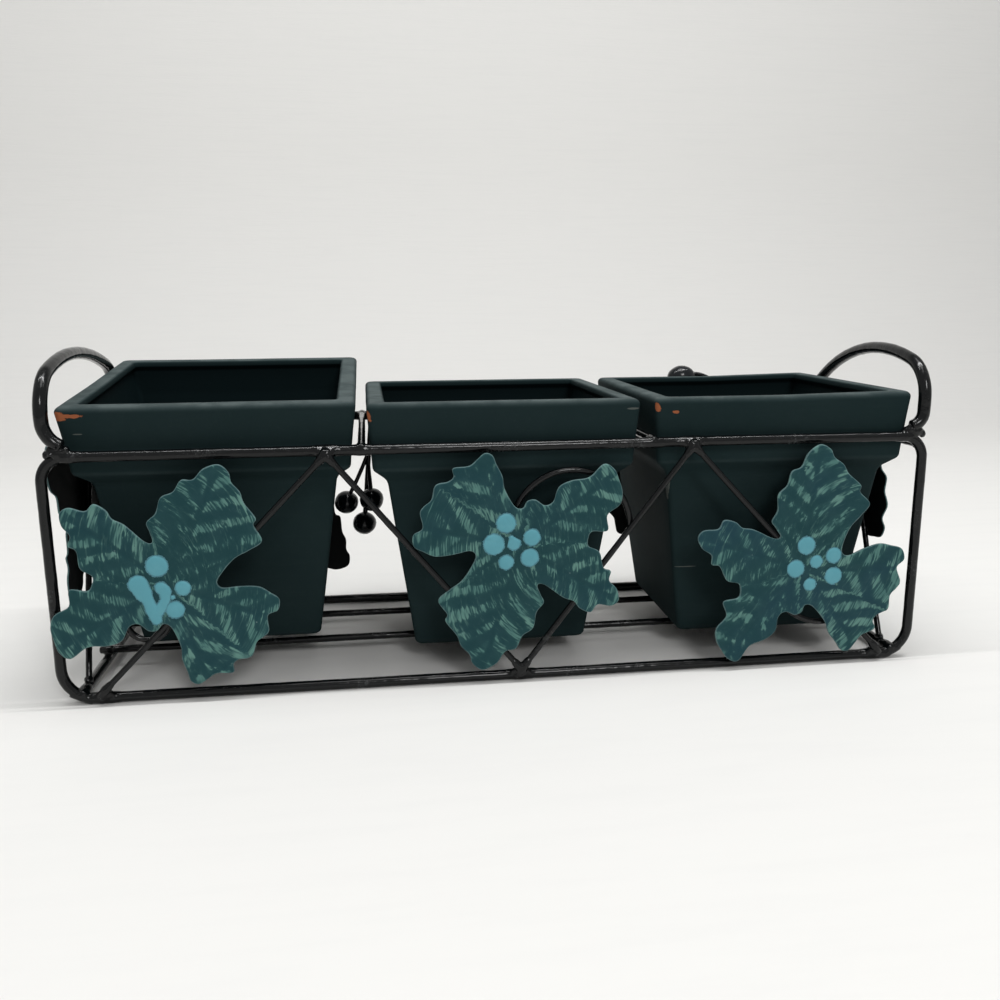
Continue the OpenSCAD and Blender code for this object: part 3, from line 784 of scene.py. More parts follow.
# Outline of a leaf from its longest lobe round to the right, as shares of its reach
LEAF_SHARES = [
    (0.07, 0.99), (0.16, 0.95), (0.20, 0.88), (0.28, 0.82), (0.33, 0.74), (0.44, 0.64),
    (0.44, 0.58), (0.53, 0.48), (0.46, 0.38), (0.38, 0.29), (0.33, 0.17), (0.32, 0.08),
    (0.38, 0.05), (0.50, 0.10), (0.64, 0.14), (0.75, 0.12), (0.84, 0.09), (0.87, 0.00),
    (0.81, -0.07), (0.85, -0.19), (0.82, -0.25), (0.77, -0.31), (0.76, -0.43), (0.67, -0.48),
    (0.64, -0.53), (0.66, -0.60), (0.55, -0.65), (0.50, -0.71), (0.44, -0.78), (0.37, -0.77),
    (0.32, -0.70), (0.25, -0.61), (0.21, -0.51), (0.10, -0.38), (0.03, -0.36), (0.00, -0.42),
    (-0.06, -0.44), (-0.14, -0.41), (-0.20, -0.45), (-0.22, -0.57), (-0.31, -0.64),
    (-0.44, -0.69), (-0.53, -0.81), (-0.62, -0.79), (-0.68, -0.71), (-0.73, -0.62),
    (-0.73, -0.52), (-0.65, -0.42), (-0.68, -0.30), (-0.56, -0.27), (-0.54, -0.21),
    (-0.56, -0.15), (-0.66, -0.12), (-0.73, 0.00), (-0.80, 0.02), (-0.81, 0.10),
    (-0.89, 0.16), (-0.93, 0.25), (-0.88, 0.31), (-0.76, 0.32), (-0.71, 0.39), (-0.61, 0.37),
    (-0.55, 0.32), (-0.45, 0.30), (-0.28, 0.22), (-0.22, 0.23), (-0.26, 0.30), (-0.30, 0.36),
    (-0.26, 0.45), (-0.26, 0.58), (-0.19, 0.66), (-0.16, 0.77), (-0.08, 0.81), (-0.03, 0.92),
]
# Tips of the main veins and the point where they meet, as shares of the leaf's reach
VEIN_TIPS = [(0.07, 0.95), (0.82, -0.08), (0.48, -0.70), (-0.60, -0.72), (-0.86, 0.24)]
LEAF_HEART = (-0.02, -0.05)


def wires():
    return bpy.context.scene.planter_wires


def leaves():
    return bpy.context.scene.planter_leaves


def pots():
    return bpy.context.scene.planter_pots


def colours():
    return bpy.context.scene.planter_colours


def seed():
    return bpy.context.scene.planter_seeds.seed


def paint(name, maker):
    """A paint, made once."""
    return bpy.data.materials.get(name) or maker(colours())


def black():
    return paint("black_gloss_paint", black_paint)


def zigzag_y():
    w = wires()
    return w.hoop_y + (w.hoop_rod + w.trim_wire) / 2 - WELD_BITE


def zigzag_points():
    w = wires()
    heights = [w.bottom_z + ZIGZAG_RISE, w.top_z - ZIGZAG_DROP]
    return [Vector((s * w.post_x, -zigzag_y(), heights[i % 2])) for i, s in enumerate(ZIGZAG_SHARES)]


def base_rod_place():
    w = wires()
    return w.post_x - BASE_ROD_INSET, w.bottom_z + w.base_rod / 2


def top_rod_place():
    w = wires()
    over = math.sqrt(w.top_bend**2 - (w.top_bend - TOP_ROD_INSET) ** 2)
    return w.post_x - TOP_ROD_INSET, w.top_z - w.top_bend + over


def slat_height():
    w = wires()
    return base_rod_place()[1] + (w.base_rod + w.slat_rod) / 2 - WELD_BITE


def divider_height():
    w = wires()
    return w.top_z + w.top_rod / 3


def handle_foot_height():
    w = wires()
    return w.top_z + (w.hoop_rod + w.handle_rod) / 2 - WELD_BITE


def on_end(side):
    """Matrix from a drawing in the XY plane to an end opening of the rack."""
    w = wires()
    base_x, base_z = base_rod_place()
    top_x, top_z = top_rod_place()
    foot_z = base_z + w.base_rod / 2
    lean = math.atan2(top_x - base_x, top_z - w.top_rod / 2 - foot_z)
    stand = Matrix.Rotation(math.pi / 2, 4, "Z") @ Matrix.Rotation(math.pi / 2, 4, "X")
    return Matrix.Translation((side * base_x, 0, foot_z)) @ Matrix.Rotation(side * lean, 4, "Y") @ stand


def end_rise():
    """Length of the slope from the base rod up to the rod across the top."""
    w = wires()
    base_x, base_z = base_rod_place()
    top_x, top_z = top_rod_place()
    return math.hypot(top_x - base_x, top_z - w.top_rod / 2 - base_z - w.base_rod / 2)


def handle_back(side, crown_y, top):
    """Path of a handle from its highest point down to the back hoop. The left one ends in a tighter bend."""
    w = wires()
    land_z = top_rod_place()[1]
    if side > 0:
        run, fall = w.hoop_y - crown_y, top - land_z
        sweep = (run**2 + fall**2) / (2 * fall)
        landing = math.degrees(math.atan2(sweep - fall, run))
        return arc(Vector((0, crown_y, top - sweep)), Y, Z, sweep, 90, landing)
    last = w.back_shoulder
    wide = last + (w.hoop_y - last - crown_y) / CROWN_END_Y
    wide_at = Vector((0, crown_y, top - wide))
    last_at = wide_at + Vector((0, CROWN_END_Y, CROWN_END_Z)) * (wide - last)
    tip = math.degrees(math.atan2(CROWN_END_Z, CROWN_END_Y))
    end = -math.degrees(math.asin((last_at.z - land_z) / last))
    return chain(arc(wide_at, Y, Z, wide, 90, tip), arc(last_at, Y, Z, last, tip, end))


def handle_path(side, inset, foot_bend, toe, rise):
    """Centre line of a handle, from its front toe over the crown down to the bent corner of the back hoop.

    The toe is the angle of the foot's bend, in degrees.
    """
    w = wires()
    top = w.top_z + rise
    shoulder = w.handle_shoulder
    crown = w.left_crown if side < 0 else w.right_crown
    crown_y = -w.hoop_y + shoulder + (crown - shoulder) * CROWN_END_Y
    tip = math.degrees(math.atan2(CROWN_END_Z, CROWN_END_Y))
    toe_sine, toe_cosine = math.sin(math.radians(toe)), math.cos(math.radians(toe))
    ankle = Vector((-foot_bend, -w.hoop_y, handle_foot_height() + foot_bend * toe_sine))
    instep = arc(ankle, X, Z, foot_bend, -toe, 0)
    shoulder_at = Vector((0, -w.hoop_y + shoulder, top - crown + (crown - shoulder) * CROWN_END_Z))
    path = chain(
        [instep[0] - (X * toe_sine + Z * toe_cosine) * HANDLE_TOE],
        instep,
        arc(shoulder_at, Y, Z, shoulder, 180, 180 - tip),
        arc(Vector((0, crown_y, top - crown)), Y, Z, crown, 180 - tip, 90),
        handle_back(side, crown_y, top),
    )
    return [Vector((side * (w.post_x - inset + p.x), p.y, p.z)) for p in path]


def hoop_path(y):
    w = wires()
    low, high = w.bottom_z + w.bottom_bend, w.top_z - w.top_bend
    bottom_x, top_x = w.post_x - w.bottom_bend, w.post_x - w.top_bend
    return chain(
        arc(Vector((bottom_x, y, low)), X, Z, w.bottom_bend, -90, 0),
        arc(Vector((top_x, y, high)), X, Z, w.top_bend, 0, 90),
        arc(Vector((-top_x, y, high)), X, Z, w.top_bend, 90, 180),
        arc(Vector((-bottom_x, y, low)), X, Z, w.bottom_bend, 180, 270),
    )


def berry_places():
    """Places of the hanging berries, the lowest first, and of the trunk's top."""
    w = wires()
    # To the left, down and forward from the trunk's top, in berry diameters
    shares = [(0.4, 4.59, 0), (1.13, 3.66, 0), (0.07, 3.46, 0.57)]
    x = HANGING_BERRIES_SHARE * w.post_x
    y = zigzag_y() + w.trim_wire / 2 - WELD_BITE + leaves().sheet - w.berry / 2
    places = [Vector((x - a * w.berry, y - c * w.berry, w.top_z - b * w.berry)) for a, b, c in shares]
    return places, Vector((x, y, w.top_z - w.hoop_rod / 2 + WELD_BITE))


def curl_matrix():
    """Matrix from a drawing in the XY plane to the leaning curl of the upright berry."""
    w = wires()
    place = Matrix.Translation((UPRIGHT_BERRY_SHARE * w.post_x, w.hoop_y, w.top_z + CURL_RISE))
    return place @ Matrix.Rotation(math.radians(90 - CURL_LEAN), 4, "X")


# Leaves

# Steps of the outline from one of its shares to the next
OUTLINE_STEPS = 6
# How far a lobe's own length is felt to either side of its vein, in radians
LOBE_SPREAD = 0.7
# Share of the bow by which each lobe curls
LOBE_CURLS = [0.7, -0.5, 0.9, 0.6, -0.4]
# Turn of the brush on each lobe, in radians
LOBE_BRUSH_TURNS = [0.12, -0.16, 0.20, -0.10, 0.05]
# Rings of points just inside the cut edge: distance from it, and the least that is kept where they crowd
EDGE_RINGS = [(0.0004, 0.00036), (0.0010, 0.0009)]
# The least distance of the other points from the cut edge
GRID_MARGIN = 0.0015
# Distance between staggered rows, and the stray of a point, as shares of the mesh size
ROW_SHARE = 0.866
GRID_STRAY = 0.12
# Depth and width of the softened cut edge
EDGE_DROP = 0.00024
EDGE_SOFTENING = 0.00045
# Distance between the side veins that are stamped and between those that are painted
STAMPED_VEIN_STEP = 0.0046
PAINTED_VEIN_STEP = 0.0098
# Distance between the points of a paint dot, its skirt under the leaf's face and its ragged edge
DOT_STEP = 0.00028
DOT_SKIRT = 0.0005
DOT_RAGGED = 0.00022
# The lowest that the middle of an end leaf may stand over the base rod, as a share of its reach
END_LEAF_LOW_SHARE = 0.995
# Farther than anything on a leaf
FAR = 1e9


def leaf_outline(reach, lobes):
    """Smooth closed outline of a leaf, whose lobes have those shares of the stamped length."""
    heart = Vector(LEAF_HEART)
    tips = [Vector(tip) - heart for tip in VEIN_TIPS]
    points = []
    for share in LEAF_SHARES:
        out = Vector(share) - heart
        near = [max(0.0, 1 - out.angle(tip) / LOBE_SPREAD) for tip in tips]
        change = sum(n * n * (3 - 2 * n) * (lobe - 1) for n, lobe in zip(near, lobes))
        points.append((heart + out * (1 + change / max(1.0, sum(near)))) * reach)
    count = len(points)
    made = []
    for i in range(count):
        a, b, c, d = (points[(i + k) % count] for k in (-1, 0, 1, 2))
        for k in range(OUTLINE_STEPS):
            t = k / OUTLINE_STEPS
            bend = (2 * a - 5 * b + 4 * c - d) * t**2
            swing = (3 * b - a - 3 * c + d) * t**3
            made.append(0.5 * (2 * b + (c - a) * t + bend + swing))
    return np.array([[p.x, p.y] for p in made])


def edge_distance(points, outline):
    """Distance of each point from the outline, and whether it is inside."""
    best = np.full(len(points), FAR)
    inside = np.zeros(len(points), bool)
    for p0, p1 in zip(outline, np.roll(outline, -1, 0)):
        d = p1 - p0
        t = np.clip(((points - p0) @ d) / (d @ d), 0, 1)
        best = np.minimum(best, np.hypot(*(points - p0 - t[:, None] * d).T))
        crosses = (p0[1] > points[:, 1]) != (p1[1] > points[:, 1])
        x = p0[0] + (points[:, 1] - p0[1]) / (d[1] if d[1] != 0 else 1e-12) * d[0]
        inside ^= crosses & (points[:, 0] < x)
    return best, inside


def vein_places(points, reach):
    """Lobe, distance along its vein, distance beside it and the vein's length, for each point."""
    heart = np.array(LEAF_HEART) * reach
    ways = np.array(VEIN_TIPS) * reach - heart
    lengths = np.hypot(*ways.T)
    ways = ways / lengths[:, None]
    out = points - heart
    along = out @ ways.T
    beside = out[:, 1:] * ways[:, 0] - out[:, :1] * ways[:, 1]
    off = np.abs(beside) + np.where(along < 0, -along * 2, 0)
    lobe = off.argmin(1)
    pick = np.arange(len(points))
    return lobe, along[pick, lobe], beside[pick, lobe], lengths[lobe]


def leaf_relief(points, bow, crease, reach, number):
    """Height of the painted face over the flat sheet: creased veins and gently curled lobes."""
    lobe, along, beside, size = vein_places(points, reach)
    far = np.clip(along / size, 0, 1.2)
    curl = bow * np.array(LOBE_CURLS)[(lobe + number) % 5] * far**2
    fade = np.clip(far * 4, 0, 1) * np.clip((1.0 - far) * 4, 0, 1)
    vein = crease * np.exp(-((beside / 0.0007) ** 2)) * fade
    across = np.sin((abs(beside) - 0.35 * along) / STAMPED_VEIN_STEP * math.pi)
    side_vein = 0.25 * crease * np.exp(-((across / 0.22) ** 2)) * np.clip(np.abs(beside) / 0.002, 0, 1)
    return curl - vein - side_vein


def edge_rings(outline):
    """Rings of points inside the cut edge, each with the least distance from it that is kept."""
    after, before = np.roll(outline, -1, 0), np.roll(outline, 1, 0)
    tangent = after - before
    tangent /= np.hypot(*tangent.T)[:, None]
    area = np.sum(outline[:, 0] * after[:, 1] - after[:, 0] * outline[:, 1])
    inward = np.stack([-tangent[:, 1], tangent[:, 0]], 1) * (1 if area > 0 else -1)
    return [(outline + inward * depth, least) for depth, least in EDGE_RINGS]


def strewn_points(outline, size, rng):
    """Points in staggered rows over the outline's box, each a little out of place."""
    (left, low), (right, high) = outline.min(0), outline.max(0)
    points = []
    for row in range(int((high - low) / (size * ROW_SHARE)) + 1):
        for column in range(int((right - left) / size) + 2):
            x = left + (column + 0.5 * (row % 2)) * size + rng.uniform(-GRID_STRAY, GRID_STRAY) * size
            y = low + row * size * ROW_SHARE + rng.uniform(-GRID_STRAY, GRID_STRAY) * size
            points.append((x, y))
    return np.array(points)


def sheet_faces(front, count):
    """Faces of a sheet from those of its front, and the paint of each: 0 on front and edge, 1 on the back."""
    faces = front + [tuple(i + count for i in reversed(f)) for f in front]
    kinds = [0] * len(front) + [1] * len(front)
    edges = dict.fromkeys(edge for f in front for edge in zip(f, f[1:] + f[:1]))
    for a, b in edges:
        if (b, a) not in edges:
            faces.append((b, a, a + count, b + count))
            kinds.append(0)
    return faces, kinds


def brush_places(flat, reach, number, way):
    """What the leaf's paint needs at each point: its veins, and places along and across the bristles."""
    lobe, along, beside, _ = vein_places(flat, reach)
    fan = math.radians(way) + np.array(LOBE_BRUSH_TURNS)[lobe] + beside / reach * 0.9
    across = (flat[:, 0] * np.sin(fan) - flat[:, 1] * np.cos(fan)) / MM
    run = (flat[:, 0] * np.cos(fan) + flat[:, 1] * np.sin(fan)) / MM
    phase = (along - np.abs(beside) * 0.75) / PAINTED_VEIN_STEP * 2 * math.pi
    return {
        "vein_mm": np.abs(beside) / MM,
        "bristle_across_mm": across + number * 11.0,
        "bristle_along_mm": run + number * 5.0,
        "side_vein": phase + lobe * 1.3 + (beside > 0) * 2.0,
        "leaf_number": np.full(len(flat), float(number)),
    }


def leaf_mesh(name, number, way):
    """The leaf as a thin sheet with a softened cut edge. Its painted face looks along +Z."""
    s = leaves()
    outline = leaf_outline(s.reach, LOBE_SHARES.get(number, (1.0,) * len(VEIN_TIPS)))
    strewn = strewn_points(outline, s.grid, random.Random(seed() + number))
    inner = []
    for points, least in (*edge_rings(outline), (strewn, GRID_MARGIN)):
        gap, inside = edge_distance(points, outline)
        inner.append(points[inside & (gap > least)])
    points = [Vector(p) for p in np.concatenate([outline, *inner])]
    made = geometry.delaunay_2d_cdt(points, [], [list(range(len(outline)))], 1, 1e-7)
    flat = np.array([[v.x, v.y] for v in made[0]])
    gap = edge_distance(flat, outline)[0]
    relief = leaf_relief(flat, s.bow, s.crease, s.reach, number)
    drop = EDGE_DROP * np.clip(1 - gap / EDGE_SOFTENING, 0, 1) ** 2
    front = np.column_stack([flat, s.sheet + relief - drop])
    back = np.column_stack([flat, relief * 0.9 + drop * 0.6])
    faces, kinds = sheet_faces([tuple(f) for f in made[2]], len(flat))
    data = {"edge_mm": gap / MM, **brush_places(flat, s.reach, number, way)}
    doubled = {key: np.concatenate([v, v]) for key, v in data.items()}
    return mesh_from(name, np.concatenate([front, back]), faces, doubled, kinds)


def front_leaf_place(share, turn):
    w = wires()
    y = zigzag_y() + w.trim_wire / 2 - WELD_BITE
    spot = Matrix.Translation((share[0] * w.post_x, -y, w.bottom_z + share[1] * (w.top_z - w.bottom_z)))
    return spot @ Matrix.Rotation(math.pi / 2, 4, "X") @ Matrix.Rotation(math.radians(turn), 4, "Z")


def back_leaf_place(share, turn):
    w = wires()
    y = w.hoop_y + w.hoop_rod / 2 - WELD_BITE
    spot = Matrix.Translation((share[0] * w.post_x, y, w.top_z - share[1] * leaves().reach))
    around = Matrix.Rotation(math.radians(turn), 4, "Z") @ Matrix.Rotation(math.pi, 4, "Y")
    return spot @ Matrix.Rotation(math.pi / 2, 4, "X") @ around


def end_leaf_place(side, share, turn):
    s = leaves()
    up = max(end_rise() - share[1] * s.reach, END_LEAF_LOW_SHARE * s.reach)
    lift = wires().top_rod / 2 - s.sheet / 2
    spot = Matrix.Translation((share[0] * wires().hoop_y, up, side * lift))
    around = Matrix.Rotation(math.radians(turn), 4, "Z")
    if side < 0:
        around = around @ Matrix.Rotation(math.pi, 4, "Y")
    return on_end(side) @ spot @ around


# Side, place, turn in degrees and number of each leaf. A place is a share of the rack's length or depth, then
# one of its height for the front leaves, or else the drop from the top as a share of the leaf's reach.
LEAF_PLACES = {
    "front_left_leaf": ("front", (-0.742, 0.504), -20, 0),
    "front_middle_leaf": ("front", (0.013, 0.556), 168, 1),
    "front_right_leaf": ("front", (0.707, 0.457), 0, 2),
    "back_left_leaf": ("back", (-0.626, 0.989), -127, 3),
    "back_right_leaf": ("back", (0.644, 0.765), -25, 4),
    "left_end_leaf": ("left", (-0.127, 0.484), 195, 5),
    "right_end_leaf": ("right", (0.136, 0.695), 185, 6),
}
# Lengths of the five lobes as shares of the stamped ones, by the number of the leaf
LOBE_SHARES = {
    0: (0.95, 0.92, 0.94, 1.0, 0.96),
    1: (1.0, 0.94, 0.92, 1.0, 0.96),
    2: (0.99, 1.0, 1.0, 1.0, 0.98),
}
# Ways of the brush on three leaves in turn, in degrees from the rack's length
BRISTLE_WAYS = (100, 97, 62)
# Blue dots of each front leaf: places on the rack's front and radii, in millimetres.
# A dot of more than one place is a smear from place to place.
LEAF_DOTS = {
    "front_left_leaf": [
        [(-131.4, 54.0, 3.9)],
        [
            (-138.5, 47.1, 3.5),
            (-137.0, 44.0, 3.0),
            (-135.3, 40.6, 1.9),
            (-134.2, 37.2, 2.4),
            (-133.0, 33.6, 1.9),
        ],
        [
            (-130.4, 45.6, 2.3),
            (-129.2, 44.2, 2.1),
            (-129.4, 40.9, 1.6),
            (-131.0, 38.0, 1.8),
            (-133.0, 35.9, 2.2),
        ],
        [(-122.8, 45.2, 2.7)],
        [(-126.6, 41.8, 0.7)],
        [(-126.0, 37.0, 3.2)],
    ],
    "front_middle_leaf": [
        [(-1.9, 65.4, 3.7)],
        [(-6.7, 57.2, 4.0)],
        [(1.1, 57.4, 2.6), (0.2, 59.6, 0.8)],
        [(8.2, 59.4, 3.2)],
        [(7.3, 51.4, 3.4)],
        [(-1.9, 49.9, 2.8)],
    ],
    "front_right_leaf": [
        [(120.4, 51.7, 3.6)],
        [(132.3, 47.1, 3.15)],
        [(125.0, 44.8, 2.5)],
        [(116.4, 42.1, 3.5)],
        [(132.7, 38.5, 3.45)],
        [(122.9, 35.3, 2.5)],
    ],
}


def leaf_place(node):
    kind, share, turn, _ = LEAF_PLACES[node]
    if kind == "front":
        return front_leaf_place(share, turn)
    if kind == "back":
        return back_leaf_place(share, turn)
    return end_leaf_place(-1 if kind == "left" else 1, share, turn)


def grid_over(drop):
    """Columns, rows and points of a grid that covers a drop."""
    xs = [centre.x for centre, _ in drop]
    ys = [centre.y for centre, _ in drop]
    wide = max(radius for _, radius in drop) + 2 * DOT_SKIRT
    columns = int((max(xs) - min(xs) + 2 * wide) / DOT_STEP) + 1
    rows = int((max(ys) - min(ys) + 2 * wide) / DOT_STEP) + 1
    x, y = np.meshgrid(
        min(xs) - wide + np.arange(columns) * DOT_STEP,
        min(ys) - wide + np.arange(rows) * DOT_STEP,
    )
    return columns, rows, np.column_stack([x.ravel(), y.ravel()])


def drop_gap(points, drop):
    """Distance of each point from a drop's edge, below 0 inside it, and the drop's radius there."""
    gap = np.full(len(points), FAR)
    size = np.full(len(points), drop[0][1])
    for (a, radius_a), (b, radius_b) in list(zip(drop, drop[1:])) or [(drop[0], drop[0])]:
        start, end = np.array([a.x, a.y]), np.array([b.x, b.y])
        way = end - start
        t = np.clip(((points - start) @ way) / max(way @ way, 1e-12), 0, 1)
        radius = radius_a + (radius_b - radius_a) * t
        reach = np.hypot(*(points - start - t[:, None] * way).T) - radius
        size = np.where(reach < gap, radius, size)
        gap = np.minimum(gap, reach)
    return gap, size


def dots_mesh(name, node):
    """Thick drops of paint on a leaf: a skin that rises over each drop and dips into the leaf around it."""
    s = leaves()
    place = leaf_place(node).inverted()
    number = LEAF_PLACES[node][3]
    verts, faces, heights = [], [], []
    for index, dot in enumerate(LEAF_DOTS[node]):
        drop = [(place @ Vector((x * MM, -zigzag_y(), z * MM)), radius * MM) for x, z, radius in dot]
        columns, rows, points = grid_over(drop)
        gap, size = drop_gap(points, drop)
        ragged = [noise.noise(Vector((p[0] * 700, p[1] * 700, index + number * 9.0))) for p in points]
        gap = gap + np.array(ragged) * DOT_RAGGED
        depth = np.clip(-gap / size, 0, 1)
        dome = np.sqrt(depth * (2 - depth))
        rise = np.where(gap < 0, 0.00005 + s.dot_height * dome**0.8, gap * 0.5)
        top = s.sheet + leaf_relief(points, s.bow, s.crease * 0.3, s.reach, number) + rise
        start = len(verts)
        verts += [(p[0], p[1], z) for p, z in zip(points, top)]
        heights += list(np.clip(rise, 0, 1) / MM)
        keep = (gap < DOT_SKIRT).reshape(rows, columns)
        for j in range(rows - 1):
            for i in range(columns - 1):
                if keep[j : j + 2, i : i + 2].all():
                    k = start + j * columns + i
                    faces.append((k, k + 1, k + 1 + columns, k + columns))
    used = sorted({i for f in faces for i in f})
    new = {old: k for k, old in enumerate(used)}
    faces = [tuple(new[i] for i in f) for f in faces]
    return mesh_from(name, [verts[i] for i in used], faces, {"dot_mm": [heights[i] for i in used]})


# Pots

# Rise of the rim to the right and to the back in metres, and its spread, for each pot
RIM_WARPS = [(0.0002, 0.0004, 0.020), (0.0, 0.0, 0.006), (0.0012, 0.0, 0.008)]
# Places of the pots along the rack, as shares of the distance from its middle to a post
POT_SHARES = [-0.653, -0.004, 0.662]
# Tilt of the left pot, whose rim is caught on the back rail, and turn of the right one, in degrees
LEFT_POT_TILT = 5.6
RIGHT_POT_TURN = -1.1
# Where the left pot's rim meets the back rail: forward of its centre line, and into its top
CATCH_FORWARD = 0.0008
CATCH_DEPTH = 0.0007
# Gap between the slats and a standing pot
STAND_GAP = 0.0003
# Steps in a corner of the profile, and the share of a straight run that it may take
PROFILE_STEPS = 7
PROFILE_CUT = 0.48
# Steps in an upright corner and along a side
POT_CORNER_STEPS = 8
SIDE_STEPS = 10
# The least distance between the rows that are added on straight stretches
ROW_STEP = 0.006
# Numbers of the profile's corners at the rim's lower edge, its outer and inner top edge and the ledge inside
RIM_FOOT, LIP, INNER_LIP, LEDGE = 3, 4, 5, 6
# Below this height a point is part of the foot, which stands nearly flat
FOOT_LEVEL = 0.002
# Painted shade inside a pot: the paint gets darker this many rows past the inner lip, and again past the
# ledge, to this share first
SHADED_ROWS = 4
HALF_SHADE = 0.55


def square_ring(half, corner, height):
    """Points of a rounded square at that height."""
    corners = []
    for quarter in range(4):
        x = (half - corner) * (1 if quarter in (0, 3) else -1)
        y = (half - corner) * (1 if quarter < 2 else -1)
        turns = [(quarter + k / POT_CORNER_STEPS) * math.pi / 2 for k in range(POT_CORNER_STEPS + 1)]
        corners.append([Vector((x + corner * math.cos(a), y + corner * math.sin(a), height)) for a in turns])
    made = []
    for bend, after in zip(corners, corners[1:] + corners[:1]):
        made += bend + [bend[-1].lerp(after[0], k / SIDE_STEPS) for k in range(1, SIDE_STEPS)]
    return made


def pot_profile():
    """Rows of half width, height, corner and share of its bend, from the drain hole round to it again."""
    s = pots()
    foot, body, rim, low = s.foot_width / 2, s.body_width / 2, s.rim_width / 2, s.rim_low_width / 2
    rim_z = s.height - s.rim_height
    neck_z = rim_z - s.neck
    inner = rim - s.rim_wall
    # Half width, height and radius of each corner
    corners = [
        (foot, 0, 0.0026),
        (body, neck_z - 0.0004, 0.006),
        (low, rim_z + 0.0006, 0.0030),
        (rim, s.height + s.crown, s.lip),
        (inner, s.height + s.crown, 0.0012),
        (inner - 0.0003, s.height - 0.0008, 0.0010),
        (inner + 0.0018, s.height - 0.0028, 0.0012),
        (low - s.rim_wall + 0.0010, rim_z, 0.012),
        (body - s.wall, neck_z - s.neck, 0.012),
        (foot - s.wall + 0.0004, s.floor, 0.0040),
    ]
    line = [Vector((s.drain / 2, 0)), *(Vector(c[:2]) for c in corners), Vector((s.drain / 2, s.floor))]
    rows = []
    for i, (_, _, radius) in enumerate(corners, 1):
        middle, first, last = corner_bend(line[i - 1], line[i], line[i + 1], radius, PROFILE_CUT)
        turn = first.angle_signed(last)
        for share in (k / PROFILE_STEPS for k in range(PROFILE_STEPS + 1)):
            spot = middle + Matrix.Rotation(-turn * share, 2) @ first
            rows.append((spot.x, spot.y, i, share))
    return rows


def dense_rows(rows):
    """The rows with more of them on the long straight stretches."""
    made = [rows[0]]
    for a, b in zip(rows, rows[1:]):
        n = max(1, int(math.hypot(b[0] - a[0], b[1] - a[1]) / ROW_STEP))
        for t in (k / n for k in range(1, n)):
            corner = b[2] if a[2] == b[2] else 0
            made.append((a[0] + (b[0] - a[0]) * t, a[1] + (b[1] - a[1]) * t, corner, t))
        made.append(b)
    return made


def hole_ring(ring, z):
    """The edge of the drain hole, with a point for each point of the ring around it."""
    return [Vector((p.x, p.y, 0)).normalized() * (pots().drain / 2) + Z * z for p in ring]


def cast_point(p, offset, warps):
    """The point as it stands on a pot whose walls are uneven and whose rim warped in the kiln."""
    s = pots()
    foot = p.z < FOOT_LEVEL
    drift = noise.noise_vector(p * 24 + offset) * s.unevenness * (0.4 if foot else 1.0)
    ripple = noise.noise(p * 90 + offset) * s.unevenness * 0.25
    out = Vector((p.x, p.y, 0)).normalized()
    down = 0.0 if foot else drift.z * 0.6
    warp = max(0.0, (p.z - s.height + s.rim_height) / s.rim_height)
    right, back, wider = warps
    rise = warp * (right * max(0.0, p.x) + back * max(0.0, p.y)) / (s.rim_width / 2)
    spread = 1 + wider * warp**2
    place = Vector((p.x * spread, p.y * spread, p.z + rise))
    return place + Vector((drift.x, drift.y, down)) * 0.7 + out * ripple


def rim_rub_and_lip_highlight(corner, share):
    """How pale the rim is painted, for a row at that share of a corner's bend: rubbed paint, and a painted
    highlight along the top of the lip.
    """
    return {
        RIM_FOOT: 0.15 * math.sin(math.pi * share),
        LIP: min(1.0, share * 1.3) ** 2,
        INNER_LIP: max(0.0, 1 - share * 1.6),
    }.get(corner, 0.0)


def pot_mesh(name, number):
    """A slip-cast square pot, open at the top, with a drain hole."""
    s = pots()
    rows = dense_rows(pot_profile())
    rings = []
    for x, z, _, _ in rows:
        corner = s.corner if x > s.foot_width / 2 - s.wall * 0.7 else s.corner * 0.6
        rings.append(square_ring(x, min(corner, x * 0.9), z))
    rings = [hole_ring(rings[0], 0.0), *rings, hole_ring(rings[-1], s.floor)]
    numbers = [0, *(row[2] for row in rows), 0]
    shares = [0, *(row[3] for row in rows), 0]
    sides = len(rings[0])
    offset = Vector((number * 3.7, number * 1.9, number * 5.3))
    verts = [cast_point(p, offset, RIM_WARPS[number]) for ring in rings for p in ring]
    mouth = numbers.index(INNER_LIP) + SHADED_ROWS
    depth = numbers.index(LEDGE) + SHADED_ROWS
    pale_rim_rows, inside = [], []
    for i, (corner, share) in enumerate(zip(numbers, shares)):
        # Pale rim rows: rubbed paint, and a painted highlight on the lip top
        pale_rim_rows += [rim_rub_and_lip_highlight(corner, share)] * sides
        # Painted shade inside the mouth, darker again past the ledge
        inside += [0.0 if i < mouth else (HALF_SHADE if i < depth else 1.0)] * sides
    faces = ring_faces(len(rings), sides, closed=True)
    return mesh_from(name, verts, faces, {"rim_rub_and_highlight": pale_rim_rows, "inside": inside})


def pot_places():
    """Places of the left, middle and right pot. The left one hangs with its rim on the back rail."""
    w, s = wires(), pots()
    left, middle, right = (share * w.post_x for share in POT_SHARES)
    stand_z = slat_height() + w.slat_rod / 2 + STAND_GAP
    catch = Matrix.Translation((left, w.hoop_y - CATCH_FORWARD, w.top_z + w.hoop_rod / 2 - CATCH_DEPTH))
    tilt = Matrix.Rotation(math.radians(LEFT_POT_TILT), 4, "X")
    hang = Matrix.Translation((0, -s.rim_low_width / 2, s.rim_height - s.height))
    turn = Matrix.Rotation(math.radians(RIGHT_POT_TURN), 4, "Z")
    return [
        catch @ tilt @ hang,
        Matrix.Translation((middle, 0, stand_z)),
        Matrix.Translation((right, 0, stand_z)) @ turn,
    ]


